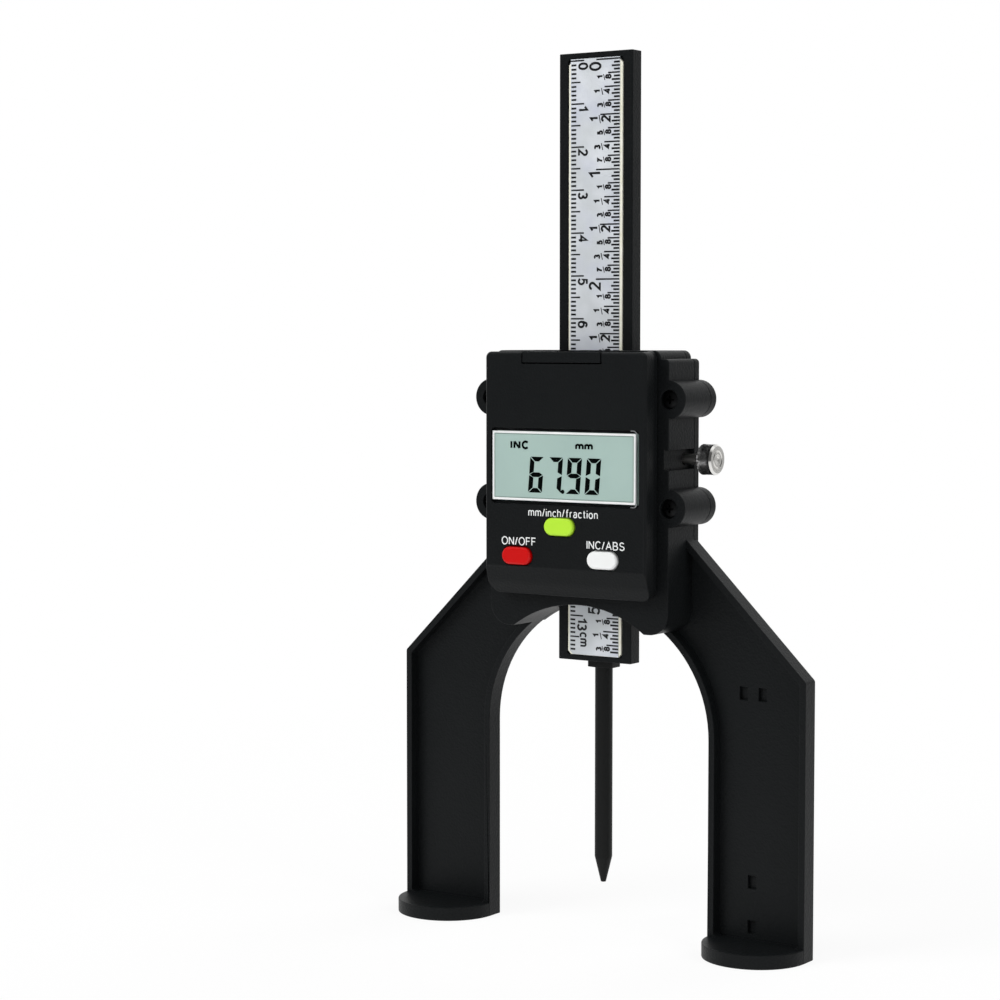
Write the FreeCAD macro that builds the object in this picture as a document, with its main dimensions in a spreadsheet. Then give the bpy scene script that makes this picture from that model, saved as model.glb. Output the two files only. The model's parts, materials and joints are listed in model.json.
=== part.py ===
"""Digital depth gauge on a bridge stand, as a parametric document in millimetres.

The stand's legs span the work, the beam slides up and down between them, and the readout in front of
the beam shows how far the probe under it has moved. X is to the right as the display is read, Y is to
the back and Z is up. The origin is on the ground, below the centre of the gauge.
"""

import FreeCAD
import Part

import math
import os

import Sketcher

V = FreeCAD.Vector

# Driving dimensions, millimetres
SIZES = {
    # The beam's front face, counted from the middle of the gauge's depth
    "beam_face": 3.7,
    # Beam, its graduated board and the film on it
    "beam_width": 20.0,
    "beam_depth": 4.0,
    "beam_length": 142.5,
    "beam_foot": 65.0,
    "board_width": 15.0,
    "board_length": 139.7,
    "board_depth": 1.0,
    "board_proud": 0.3,
    "board_chamfer": 0.8,
    "board_gap": 0.1,
    "label_width": 13.9,
    "label_length": 139.6,
    "label_film": 0.12,
    "slide_gap": 0.3,
    # Stop groove in the beam's back and the pin that runs in it
    "travel_up": 12.1,
    "travel_down": 67.9,
    "stop_pin": 2.4,
    "stop_height": 100.0,
    "stop_depth": 1.2,
    "beam_round": 0.35,
    # Probe with its split clip
    "probe_diameter": 4.2,
    "probe_tip": 11.7,
    "probe_taper": 6.2,
    "probe_point": 1.2,
    "probe_axis": 4.4,
    "clip_width": 7.6,
    "clip_height": 13.1,
    "clip_depth": 2.0,
    "ear_width": 10.5,
    "ear_height": 1.9,
    "ear_slope": 0.5,
    "shoulder_width": 6.8,
    "shoulder_height": 1.7,
    "shoulder_corner": 0.5,
    "split_width": 1.1,
    "split_height": 3.4,
    "diamond_width": 1.5,
    "diamond_height": 3.2,
    # Body block of the stand
    "block_width": 48.7,
    "block_front": 7.5,
    "block_foot": 73.2,
    "block_corner": 5.0,
    "wing_top": 136.4,
    "wing_corner": 1.0,
    "tier_width": 44.4,
    "tier_top": 138.3,
    "tier_corner": 1.8,
    "collar_width": 42.6,
    "collar_step": 0.8,
    "collar_corner": 2.0,
    "boss_diameter": 8.7,
    "boss_upper": 127.2,
    "boss_lower": 102.4,
    # Legs and feet
    "leg_front": 0.7,
    "leg_back": 5.5,
    "leg_outer": 55.3,
    "leg_inner": 30.4,
    "arch_centre": 48.6,
    "knee_height": 64.0,
    "hip_height": 94.8,
    "rib_width": 1.6,
    "web_depth": 1.9,
    "channel_corner": 1.0,
    "foot_height": 3.3,
    "foot_centre": 1.25,
    "foot_rim": 1.2,
    "foot_recess": 0.6,
    "foot_collar": 1.0,
    "pocket_width": 2.0,
    "pocket_height": 3.0,
    "pocket_depth": 1.0,
    "pocket_shift": 2.4,
    "pocket_pitch": 4.9,
    "pocket_rows_low": 6.0,
    "pocket_rows_middle": 16.5,
    "pocket_rows_high": 60.0,
    # Magnets
    "magnet_diameter": 8.7,
    "magnet_depth": 2.0,
    "magnet_set_back": 3.4,
    "magnet_gap": 0.1,
    "magnet_lift": 0.15,
    # Rear cover
    "rear_depth": 2.2,
    "ear_depth": 2.65,
    "ear_skin": 0.6,
    # Front cover, its heights counted down from its top through the display and the buttons
    "cover_width": 43.8,
    "cover_front": 13.6,
    "cover_back": 10.0,
    "cover_top": 138.0,
    "cover_wall": 1.6,
    "cover_side_wall": 1.5,
    "cover_corner": 1.4,
    "cover_foot_corner": 2.6,
    "cover_edge": 0.8,
    "chin_below": 2.4,
    "chin_height": 6.8,
    "chin_land": 0.5,
    "chin_set_back": 1.3,
    "chin_drop": 4.0,
    "chin_radius": 6.0,
    "chin_wall": 1.0,
    # Display
    "view_width": 39.0,
    "view_drop": 18.4,
    "view_height": 16.4,
    "lens_lip": 0.6,
    "lens_depth": 0.95,
    "lens_gap": 0.1,
    "lens_corner": 1.0,
    "view_corner": 0.5,
    "glass_margin": 0.5,
    "glass_depth": 1.3,
    "strip_depth": 1.4,
    "strip_inset": 4.0,
    # Buttons
    "button_width": 8.0,
    "button_height": 4.1,
    "button_proud": 0.8,
    "button_gap": 0.25,
    "button_flange": 0.7,
    "button_flange_depth": 0.6,
    "button_flange_corner": 1.0,
    "button_travel": 0.5,
    "button_round": 0.6,
    "button_stem": 3.2,
    "stem_gap": 0.1,
    "button_middle": -1.1,
    "button_pitch": 11.7,
    "unit_button_drop": 5.6,
    "lower_button_drop": 7.2,
    "switch_diameter": 4.0,
    "switch_height": 1.1,
    # Electronics
    "floor_gap": 0.33,
    "sensor_width": 30.4,
    "sensor_step": 3.3,
    "board_thickness": 1.0,
    "main_board_back": 8.0,
    "cavity_width": 40.0,
    "cavity_step": 3.5,
    "cavity_corner": 1.0,
    "fit_gap": 0.3,
    "column_width": 4.5,
    "column_upper": 129.0,
    "column_lower": 97.3,
    "column_root": 1.0,
    "header_width": 16.0,
    "header_bar": 2.5,
    "header_pitch": 2.0,
    "header_pin": 0.64,
    "chip_width": 9.0,
    "chip_depth": 1.2,
    "contact_width": 5.0,
    "contact_height": 7.0,
    "contact_tongue": 3.0,
    "contact_leaf": 0.3,
    # Battery drawer and cell
    "tray_middle": -0.8,
    "tray_width": 21.2,
    "tray_back": 2.5,
    "tray_depth": 4.2,
    "tray_wall": 0.7,
    "tray_lid": 2.5,
    "cell_diameter": 20.0,
    "cell_depth": 3.2,
    "cell_drop": 13.0,
    "cell_gap": 0.15,
    "cell_step": 0.4,
    "cell_cap": 17.2,
    "tray_web": 0.6,
    "tray_window": 12.0,
    # Screws
    "case_shank": 2.5,
    "case_head": 4.0,
    "case_head_depth": 1.3,
    "case_sink": 1.8,
    "cover_shank": 2.0,
    "cover_head": 3.8,
    "cover_head_depth": 1.6,
    "post_sink": 0.6,
    "post_gap": 0.1,
    "screw_gap": 0.05,
    "head_gap": 0.2,
    # Thumb screw, its nut and shoe
    "lock_above_hip": 18.6,
    "lock_depth": 2.0,
    "lock_shank": 2.5,
    "lock_play": 0.1,
    "knob_diameter": 7.1,
    "knob_start": 27.7,
    "knob_length": 4.1,
    "knob_chamfer": 0.35,
    "notch_height": 4.6,
    "notch_depth": 1.2,
    "nut_width": 4.4,
    "nut_depth": 2.0,
    "nut_start": 19.8,
    "shoe_length": 1.8,
    "shoe_width": 3.4,
    "shoe_height": 4.4,
    "shoe_back": 1.3,
    # Leaf spring beside the beam
    "spring_length": 24.0,
    "spring_recess": 1.3,
    "spring_leaf": 0.25,
    "spring_rise": 0.85,
    "spring_height": 113.4,
    "spring_ledge": 1.0,
}

doc = FreeCAD.newDocument("DepthGauge")
sheet = doc.addObject("Spreadsheet::Sheet", "Sizes")


class Size:
    """A number together with the sheet expression that drives it."""

    def __init__(self, value, text):
        self.value = float(value)
        self.text = text

    def __add__(self, other):
        other = to_size(other)
        return Size(self.value + other.value, f"({self.text} + {other.text})")

    def __sub__(self, other):
        other = to_size(other)
        return Size(self.value - other.value, f"({self.text} - {other.text})")

    def __mul__(self, other):
        other = to_size(other)
        return Size(self.value * other.value, f"({self.text} * {other.text})")

    def __truediv__(self, other):
        other = to_size(other)
        return Size(self.value / other.value, f"({self.text} / {other.text})")

    def __neg__(self):
        return Size(-self.value, f"(-1 * {self.text})")

    def __radd__(self, other):
        return to_size(other) + self

    def __rsub__(self, other):
        return to_size(other) - self

    def __rmul__(self, other):
        return to_size(other) * self


def to_size(number):
    """A plain number as a Size."""
    if isinstance(number, Size):
        return number
    return Size(number, repr(float(number)))


def root(size):
    """The square root of a size."""
    return Size(math.sqrt(size.value), f"sqrt({size.text})")


class Dimensions:
    """The sheet's sizes, each read as an attribute."""

    def __init__(self, values):
        for row, (name, value) in enumerate(values.items(), start=1):
            sheet.set(f"A{row}", name)
            sheet.set(f"B{row}", str(value))
            sheet.setAlias(f"B{row}", name)
            setattr(self, name, Size(value, f"Sizes.{name}"))


S = Dimensions(SIZES)
doc.recompute()


def span(middle, width):
    """The low and high ends of a width centred on a middle."""
    middle = to_size(middle)
    return middle - width / 2, middle + width / 2


# Depths along Y and heights that several pieces share
Y0 = S.beam_face
BLOCK_FRONT = Y0 - S.block_front
COVER_FRONT = Y0 - S.cover_front
COVER_BACK = Y0 - S.cover_back
COVER_INNER = COVER_FRONT + S.cover_wall
LABEL_FACE = Y0 - S.board_proud - S.label_film
FLOOR = LABEL_FACE - S.floor_gap
BEAM_BACK = Y0 + S.beam_depth
SEAT = BEAM_BACK + S.slide_gap
LEG_FRONT = Y0 + S.leg_front
LEG_BACK = Y0 + S.leg_back
WEB_FRONT = LEG_BACK - S.web_depth
REAR_FACE = SEAT + S.rear_depth
CHANNEL = S.beam_width / 2 + S.slide_gap
BLOCK_SIDE = S.block_width / 2
BOSS_RADIUS = S.boss_diameter / 2
BEAM_TOP = S.beam_foot + S.beam_length
MAIN_BACK = Y0 - S.main_board_back
MAIN_FRONT = MAIN_BACK - S.board_thickness
SENSOR_FRONT = FLOOR - S.board_thickness
TRAY_BACK = Y0 - S.tray_back
TRAY_FRONT = TRAY_BACK - S.tray_depth
LID_FOOT = S.cover_top - S.tray_lid
CELL_HEIGHT = S.cover_top - S.cell_drop
TRAY_FOOT = CELL_HEIGHT - S.cell_diameter / 2 - S.tray_wall
VIEW_TOP = S.cover_top - S.view_drop
VIEW_FOOT = VIEW_TOP - S.view_height
UNIT_BUTTON_HEIGHT = VIEW_FOOT - S.unit_button_drop
LOWER_BUTTON_HEIGHT = UNIT_BUTTON_HEIGHT - S.lower_button_drop
CHIN_TOP = LOWER_BUTTON_HEIGHT - S.chin_below
COVER_FOOT = CHIN_TOP - S.chin_height
COLLAR_FOOT = COVER_FOOT + S.collar_step
CAVITY_FOOT = COVER_FOOT + S.cavity_step
CAVITY_TOP = S.cover_top - S.cavity_step
SENSOR_FOOT = CAVITY_FOOT + S.sensor_step
SENSOR_TOP = CAVITY_TOP - S.sensor_step
LOCK_Y = Y0 + S.lock_depth
PROBE_Y = Y0 + S.probe_axis
CLIP_FRONT = BEAM_BACK - S.clip_depth
LOCK_HEIGHT = S.hip_height + S.lock_above_hip
FOOT_MIDDLE = (S.leg_outer + S.leg_inner) / 2
FOOT_RADIUS = (S.leg_outer - S.leg_inner) / 2
FOOT_CENTRE = Y0 + S.foot_centre
MAGNET_Y = Y0 - S.magnet_set_back
COLUMN_X = S.cavity_width / 2 - S.column_width / 2 + S.fit_gap / 2
BUTTONS = {
    "on_off_button": (S.button_middle - S.button_pitch, LOWER_BUTTON_HEIGHT),
    "unit_button": (S.button_middle, UNIT_BUTTON_HEIGHT),
    "mode_button": (S.button_middle + S.button_pitch, LOWER_BUTTON_HEIGHT),
}
SIDES = (-1, 1)
# Share of the full radius at a round end, which leaves the side between two corners a length
NEARLY = 0.996
# How far a cut runs out past the piece
OVERSHOOT = to_size(1.0)
BOSSES = [(side * BLOCK_SIDE, height) for side in SIDES for height in (S.boss_upper, S.boss_lower)]
COLUMNS = [(side * COLUMN_X, height) for side in SIDES for height in (S.column_upper, S.column_lower)]


def bind(thing, path, size):
    """Drives one property of an object by a size."""
    thing.setExpression(path, to_size(size).text)


# Sketches and solid features


def rectangle(x, z, radius=None):
    """Corners of a rectangle between two pairs, each with the same radius."""
    return [(x[0], z[0], radius), (x[1], z[0], radius), (x[1], z[1], radius), (x[0], z[1], radius)]


def mirrored(corners):
    """The same outline on the other side of the middle plane."""
    return [(-corner[0], corner[1], *corner[2:]) for corner in reversed(corners)]


def pin_point(sketch, index, place, x, y):
    """Ties a sketch point to its distances from the sketch's origin."""
    for kind, size in (("DistanceX", x), ("DistanceY", y)):
        size = to_size(size)
        number = sketch.addConstraint(Sketcher.Constraint(kind, -1, 1, index, place, size.value))
        sketch.setExpression(f"Constraints[{number}]", size.text)


def add_circle(sketch, x, y, radius):
    """Adds a circle whose centre and radius follow the sheet."""
    x, y, radius = to_size(x), to_size(y), to_size(radius)
    index = sketch.addGeometry(Part.Circle(V(x.value, y.value, 0), V(0, 0, 1), radius.value), False)
    pin_point(sketch, index, 3, x, y)
    number = sketch.addConstraint(Sketcher.Constraint("Radius", index, radius.value))
    sketch.setExpression(f"Constraints[{number}]", radius.text)


def corner_points(before, here, after, radius):
    """Where a rounding of this radius leaves the two sides of a corner, and its centre."""
    to_before = (before - here).normalize()
    to_after = (after - here).normalize()
    half = to_before.getAngle(to_after) / 2
    reach = radius / math.tan(half)
    middle = (to_before + to_after).normalize() * (radius / math.sin(half))
    return here + to_before * reach, here + to_after * reach, here + middle


def add_outline(sketch, corners):
    """Adds a closed outline of straight sides, rounded by tangent arcs where a corner has a radius."""
    corners = [(to_size(c[0]), to_size(c[1]), c[2] if len(c) > 2 else None) for c in corners]
    count = len(corners)
    spots = [V(x.value, y.value, 0) for x, y, _ in corners]
    ends = []
    for i, (_, _, radius) in enumerate(corners):
        if radius is None:
            ends.append((spots[i], spots[i], None))
            continue
        ends.append(corner_points(spots[i - 1], spots[i], spots[(i + 1) % count], to_size(radius).value))
    lines = [
        sketch.addGeometry(Part.LineSegment(ends[i][1], ends[(i + 1) % count][0]), False)
        for i in range(count)
    ]
    for i, (x, y, radius) in enumerate(corners):
        line_in, line_out = lines[i - 1], lines[i]
        if radius is None:
            sketch.addConstraint(Sketcher.Constraint("Coincident", line_in, 2, line_out, 1))
            pin_point(sketch, line_out, 1, x, y)
            continue
        start, end, centre = ends[i]
        left_turn = (start - centre).cross(end - centre).z > 0
        first, last = (start, end) if left_turn else (end, start)
        angles = [math.atan2(spot.y - centre.y, spot.x - centre.x) for spot in (first, last)]
        circle = Part.Circle(centre, V(0, 0, 1), to_size(radius).value)
        arc = sketch.addGeometry(Part.ArcOfCircle(circle, angles[0], angles[1]), False)
        point = sketch.addGeometry(Part.Point(spots[i]), True)
        pin_point(sketch, point, 1, x, y)
        sketch.addConstraint(Sketcher.Constraint("Tangent", line_in, 2, arc, 1 if left_turn else 2))
        sketch.addConstraint(Sketcher.Constraint("Tangent", arc, 2 if left_turn else 1, line_out, 1))
        sketch.addConstraint(Sketcher.Constraint("PointOnObject", point, 1, line_in))
        sketch.addConstraint(Sketcher.Constraint("PointOnObject", point, 1, line_out))
        number = sketch.addConstraint(Sketcher.Constraint("Radius", arc, to_size(radius).value))
        sketch.setExpression(f"Constraints[{number}]", to_size(radius).text)


class Solid:
    """A sub-part built as a body from sketches on planes across X, Y or Z."""

    PLANES = {"X": ("YZ_Plane", 1), "Y": ("XZ_Plane", -1), "Z": ("XY_Plane", 1)}

    def __init__(self, name):
        self.name = name
        self.body = doc.addObject("PartDesign::Body", name)
        self.body.Label = name
        self.count = 0

    def sketch(self, axis, place, outlines):
        """A sketch at one place along an axis; an outline is a list of corners or a (x, y, radius) circle."""
        role, _ = self.PLANES[axis]
        plane = next(f for f in self.body.Origin.OriginFeatures if f.Role == role)
        self.count += 1
        sketch = self.body.newObject("Sketcher::SketchObject", f"{self.name}_sketch_{self.count}")
        sketch.AttachmentSupport = [(plane, "")]
        sketch.MapMode = "FlatFace"
        bind(sketch, "AttachmentOffset.Base.z", place)
        for outline in outlines:
            if isinstance(outline, list):
                add_outline(sketch, outline)
            else:
                add_circle(sketch, *outline)
        return sketch

    def add(self, axis, reach, *outlines):
        """Adds material between two places along an axis."""
        sign = self.PLANES[axis][1]
        sketch = self.sketch(axis, sign * reach[0] if sign > 0 else sign * reach[1], outlines)
        pad = self.body.newObject("PartDesign::Pad", f"{self.name}_pad_{self.count}")
        pad.Profile = sketch
        bind(pad, "Length", reach[1] - reach[0])
        return pad

    def cut(self, axis, reach, *outlines):
        """Takes material away between two places along an axis."""
        sign = self.PLANES[axis][1]
        sketch = self.sketch(axis, sign * reach[1] if sign > 0 else sign * reach[0], outlines)
        pocket = self.body.newObject("PartDesign::Pocket", f"{self.name}_pocket_{self.count}")
        pocket.Profile = sketch
        bind(pocket, "Length", reach[1] - reach[0])
        return pocket

    def turn(self, outline, centre):
        """Turns an outline in the plane across Y about the vertical line through a centre at X, Y."""
        sketch = self.sketch("Y", -centre[1], [outline])
        bind(sketch, "AttachmentOffset.Base.x", centre[0])
        feature = self.body.newObject("PartDesign::Revolution", f"{self.name}_turn_{self.count}")
        feature.Profile = sketch
        feature.ReferenceAxis = (sketch, ["V_Axis"])
        feature.Angle = 360.0
        return feature

    def round_edges(self, radius, chosen):
        """Rounds the edges that a test picks from the body as it stands."""
        doc.recompute()
        tip = self.body.Tip
        names = [f"Edge{i}" for i, edge in enumerate(tip.Shape.Edges, start=1) if chosen(edge)]
        self.count += 1
        fillet = self.body.newObject("PartDesign::Fillet", f"{self.name}_fillet_{self.count}")
        fillet.Base = (tip, names)
        bind(fillet, "Radius", radius)
        return fillet


# Part primitives


def box(name, x, y, z):
    """A box between three pairs of places."""
    solid = doc.addObject("Part::Box", name)
    for prop, place, pair in (("Length", "x", x), ("Width", "y", y), ("Height", "z", z)):
        low, high = to_size(pair[0]), to_size(pair[1])
        bind(solid, prop, high - low)
        bind(solid, f"Placement.Base.{place}", low)
    return solid


TURNS = {
    "X": FreeCAD.Rotation(V(0, 1, 0), 90),
    "Y": FreeCAD.Rotation(V(1, 0, 0), -90),
    "Z": FreeCAD.Rotation(),
}


def rod(name, axis, reach, centre, radius):
    """A cylinder along an axis between two places; its centre is given in the other two directions."""
    solid = doc.addObject("Part::Cylinder", name)
    solid.Placement = FreeCAD.Placement(V(), TURNS[axis])
    low, high = to_size(reach[0]), to_size(reach[1])
    bind(solid, "Radius", radius)
    bind(solid, "Height", high - low)
    across = [letter for letter in "XYZ" if letter != axis]
    for letter, size in zip([axis, *across], [low, *centre]):
        bind(solid, f"Placement.Base.{letter.lower()}", size)
    return solid


def join(name, pieces):
    """One object from several; pieces that don't touch stay separate solids."""
    whole = doc.addObject("Part::MultiFuse", name)
    whole.Shapes = pieces
    whole.Refine = True
    return whole


def remove(name, base, tools):
    """A piece with tools taken away."""
    result = doc.addObject("Part::Cut", name)
    result.Base = base
    result.Tool = tools[0] if len(tools) == 1 else join(f"{name}_tools", tools)
    return result


# The stand


def block_outline():
    """Front view of the body block: square above, with rounded lower corners."""
    return [
        (-BLOCK_SIDE, S.block_foot, S.block_corner),
        (BLOCK_SIDE, S.block_foot, S.block_corner),
        (BLOCK_SIDE, S.wing_top, S.wing_corner),
        (-BLOCK_SIDE, S.wing_top, S.wing_corner),
    ]


def tier_outline():
    """Front view of the raised middle of the block's top."""
    low = S.wing_top - S.tier_corner
    return [
        (-S.tier_width / 2, low),
        (S.tier_width / 2, low),
        (S.tier_width / 2, S.tier_top, S.tier_corner),
        (-S.tier_width / 2, S.tier_top, S.tier_corner),
    ]


def collar_outline():
    """Front view of the collar that carries the front cover."""
    return [
        (-S.collar_width / 2, COLLAR_FOOT, S.collar_corner),
        (S.collar_width / 2, COLLAR_FOOT, S.collar_corner),
        (S.collar_width / 2, S.tier_top, S.tier_corner),
        (-S.collar_width / 2, S.tier_top, S.tier_corner),
    ]


def leg_outline():
    """Front view of both legs and the bridge between them, without the arch."""
    right = [
        (S.leg_outer, 0),
        (S.leg_outer, S.knee_height, S.wing_corner),
        (BLOCK_SIDE, S.hip_height),
    ]
    left = mirrored(right)
    return right + left


def channel_outline():
    """Front view of the right leg's shallow channel inside its ribs."""
    slope = (S.hip_height - S.knee_height) / (S.leg_outer - BLOCK_SIDE)
    inner = S.leg_inner + S.rib_width
    outer = S.leg_outer - S.rib_width
    drop = S.rib_width * root(1 + slope * slope)
    knee = S.knee_height + slope * S.rib_width - drop
    top_x = S.leg_inner / 2
    top = S.knee_height + slope * (S.leg_outer - top_x) - drop
    return [
        (inner, S.foot_height, S.channel_corner),
        (outer, S.foot_height, S.channel_corner),
        (outer, knee, S.channel_corner),
        (top_x, top),
        (top_x, S.arch_centre),
        (inner, S.arch_centre),
    ]


def pocket_spots():
    """Middles of the small blind pockets in the right leg's web."""
    middle = FOOT_MIDDLE - S.pocket_shift
    return [
        (middle - S.pocket_pitch / 2, S.pocket_rows_high),
        (middle + S.pocket_pitch / 2, S.pocket_rows_high),
        (middle, S.pocket_rows_middle),
        (middle, S.pocket_rows_low),
    ]


def foot_outline(side, inset=0.0):
    """Plan of one foot: straight at the back and round in front, drawn in by an inset."""
    radius = FOOT_RADIUS - inset
    low, high = span(side * FOOT_MIDDLE, 2 * radius)
    front = FOOT_CENTRE - radius
    back = LEG_BACK - inset
    return [(low, front, radius * NEARLY), (high, front, radius * NEARLY), (high, back), (low, back)]


def arch_cuts(solid, reach):
    """Opens the bridge between the legs: a round arch on two upright sides."""
    solid.cut("Y", reach, (0, S.arch_centre, S.leg_inner))
    if solid.name == "stand_frame":
        solid.cut("Y", reach, rectangle((-S.leg_inner, S.leg_inner), (-OVERSHOOT, S.arch_centre)))


def stand_frame():
    """Black moulding: body block, bosses, channel legs and feet."""
    frame = Solid("stand_frame")
    frame.add("Y", (LEG_FRONT, LEG_BACK), leg_outline())
    channel = channel_outline()
    frame.cut("Y", (LEG_FRONT, WEB_FRONT), channel)
    frame.cut("Y", (LEG_FRONT, WEB_FRONT), mirrored(channel))
    frame.add("Y", (LEG_FRONT, LEG_BACK), (0, S.arch_centre, S.leg_inner + S.rib_width))
    frame.add("Y", (BLOCK_FRONT, SEAT), block_outline())
    frame.add("Y", (BLOCK_FRONT, SEAT), tier_outline())
    frame.add("Y", (COVER_BACK, BLOCK_FRONT), collar_outline())
    frame.add("Y", (BLOCK_FRONT, SEAT), *[(x, z, BOSS_RADIUS) for x, z in BOSSES])
    arch_cuts(frame, (BLOCK_FRONT, LEG_BACK))
    for side in SIDES:
        frame.add("Z", (to_size(0), S.foot_height), foot_outline(side))
    seat = rectangle(span(0, S.block_width + S.fit_gap), (S.block_foot, S.tier_top))
    frame.cut("Y", (SEAT, LEG_BACK), seat)
    frame_hollows(frame)
    frame_holes(frame)
    foot_hollows(frame)
    pockets = [rectangle(span(x, S.pocket_width), span(z, S.pocket_height)) for x, z in pocket_spots()]
    frame.cut("Y", (WEB_FRONT, WEB_FRONT + S.pocket_depth), *pockets)
    return frame.body


def frame_hollows(frame):
    """The room for the electronics, the battery drawer and the beam."""
    room = rectangle(span(0, S.cavity_width), (CAVITY_FOOT, CAVITY_TOP), S.cavity_corner)
    frame.cut("Y", (COVER_BACK, FLOOR), room)
    wide = S.column_width + S.column_root
    for side in SIDES:
        for height in (S.column_upper, S.column_lower):
            middle = side * (COLUMN_X + S.column_root / 2)
            frame.add("Y", (COVER_BACK, FLOOR), rectangle(span(middle, wide), span(height, S.column_width)))
    frame.cut("Z", (S.arch_centre, S.tier_top), rectangle(span(0, 2 * CHANNEL), (FLOOR, SEAT)))
    slot = S.tray_width + 2 * S.fit_gap
    frame.cut(
        "Z",
        (CAVITY_TOP, S.tier_top),
        rectangle(span(S.tray_middle, slot), (TRAY_FRONT - S.fit_gap, TRAY_BACK + S.fit_gap)),
    )
    frame.cut(
        "Z",
        (LID_FOOT - S.fit_gap, S.tier_top),
        rectangle(span(S.tray_middle, slot), (COVER_BACK, TRAY_BACK + S.fit_gap)),
    )


def frame_holes(frame):
    """Screw holes, the thumb screw's way in, its nut and shoe pockets and the spring's recess."""
    case_hole = S.case_shank / 2 + S.screw_gap
    frame.cut("Y", (BLOCK_FRONT, SEAT), *[(x, z, case_hole) for x, z in BOSSES])
    case_sink = S.case_head / 2 + S.head_gap
    frame.cut("Y", (BLOCK_FRONT, BLOCK_FRONT + S.case_sink), *[(x, z, case_sink) for x, z in BOSSES])
    cover_hole = S.cover_shank / 2 + S.screw_gap
    frame.cut("Y", (COVER_BACK, SEAT), *[(x, z, cover_hole) for x, z in COLUMNS])
    cover_sink = S.cover_head / 2 + S.head_gap
    sink_floor = SEAT - S.cover_head_depth - S.head_gap
    frame.cut("Y", (sink_floor, SEAT), *[(x, z, cover_sink) for x, z in COLUMNS])
    lock_hole = S.lock_shank / 2 + S.lock_play
    frame.cut("X", (CHANNEL, BLOCK_SIDE), (LOCK_Y, LOCK_HEIGHT, lock_hole))
    notch = rectangle((BLOCK_FRONT, SEAT), span(LOCK_HEIGHT, S.notch_height))
    frame.cut("X", (BLOCK_SIDE - S.notch_depth, BLOCK_SIDE), notch)
    room = S.nut_width + 2 * S.screw_gap
    nut_floor = LOCK_Y - room / 2
    nut = rectangle((nut_floor, SEAT), span(LOCK_HEIGHT, room))
    frame.cut("X", (S.nut_start - S.screw_gap, S.nut_start + S.nut_depth + S.screw_gap), nut)
    shoe_room = rectangle(
        span(LOCK_Y, S.shoe_width + 2 * S.slide_gap), span(LOCK_HEIGHT, S.shoe_height + 2 * S.slide_gap)
    )
    shoe_end = CHANNEL + S.shoe_length + S.shoe_back
    frame.cut("X", (S.beam_width / 2, shoe_end), shoe_room)
    spring_room = rectangle(
        (FLOOR + S.spring_ledge, SEAT), span(S.spring_height, S.spring_length + 2 * S.fit_gap)
    )
    frame.cut("X", (-CHANNEL - S.spring_recess, -S.beam_width / 2), spring_room)


def foot_hollows(frame):
    """The shallow recess under each foot and the magnet's pocket in it."""
    pocket_radius = S.magnet_diameter / 2 + S.magnet_gap
    for side in SIDES:
        collar = (side * FOOT_MIDDLE, MAGNET_Y, pocket_radius + S.foot_collar)
        frame.cut("Z", (to_size(0), S.foot_recess), foot_outline(side, S.foot_rim))
        frame.add("Z", (S.magnet_lift, S.foot_recess), collar)
        deep = S.foot_recess / 2 + S.magnet_depth + S.magnet_gap
        frame.cut("Z", (to_size(0), deep), (side * FOOT_MIDDLE, MAGNET_Y, pocket_radius))


def rear_cover():
    """Plate that closes the beam's channel, with the stop pin and an ear on each boss."""
    cover = Solid("rear_cover")
    cover.add("Y", (SEAT, REAR_FACE), block_outline())
    cover.add("Y", (SEAT, REAR_FACE), tier_outline())
    cover.add("Y", (SEAT, SEAT + S.ear_depth), *[(x, z, BOSS_RADIUS) for x, z in BOSSES])
    arch_cuts(cover, (SEAT, REAR_FACE))
    pin_end = BEAM_BACK - S.stop_depth + S.slide_gap
    cover.add("Y", (pin_end, SEAT), (0, S.stop_height, S.stop_pin / 2))
    hole = S.case_shank / 2 + S.screw_gap
    cover.cut("Y", (SEAT, SEAT + S.ear_depth - S.ear_skin), *[(x, z, hole) for x, z in BOSSES])
    return cover.body


# The readout


def stadium(x, z, width, height):
    """A slot outline with round ends about its middle, just short of full half circles."""
    return rectangle(span(x, width), span(z, height), height / 2 * NEARLY)


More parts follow.
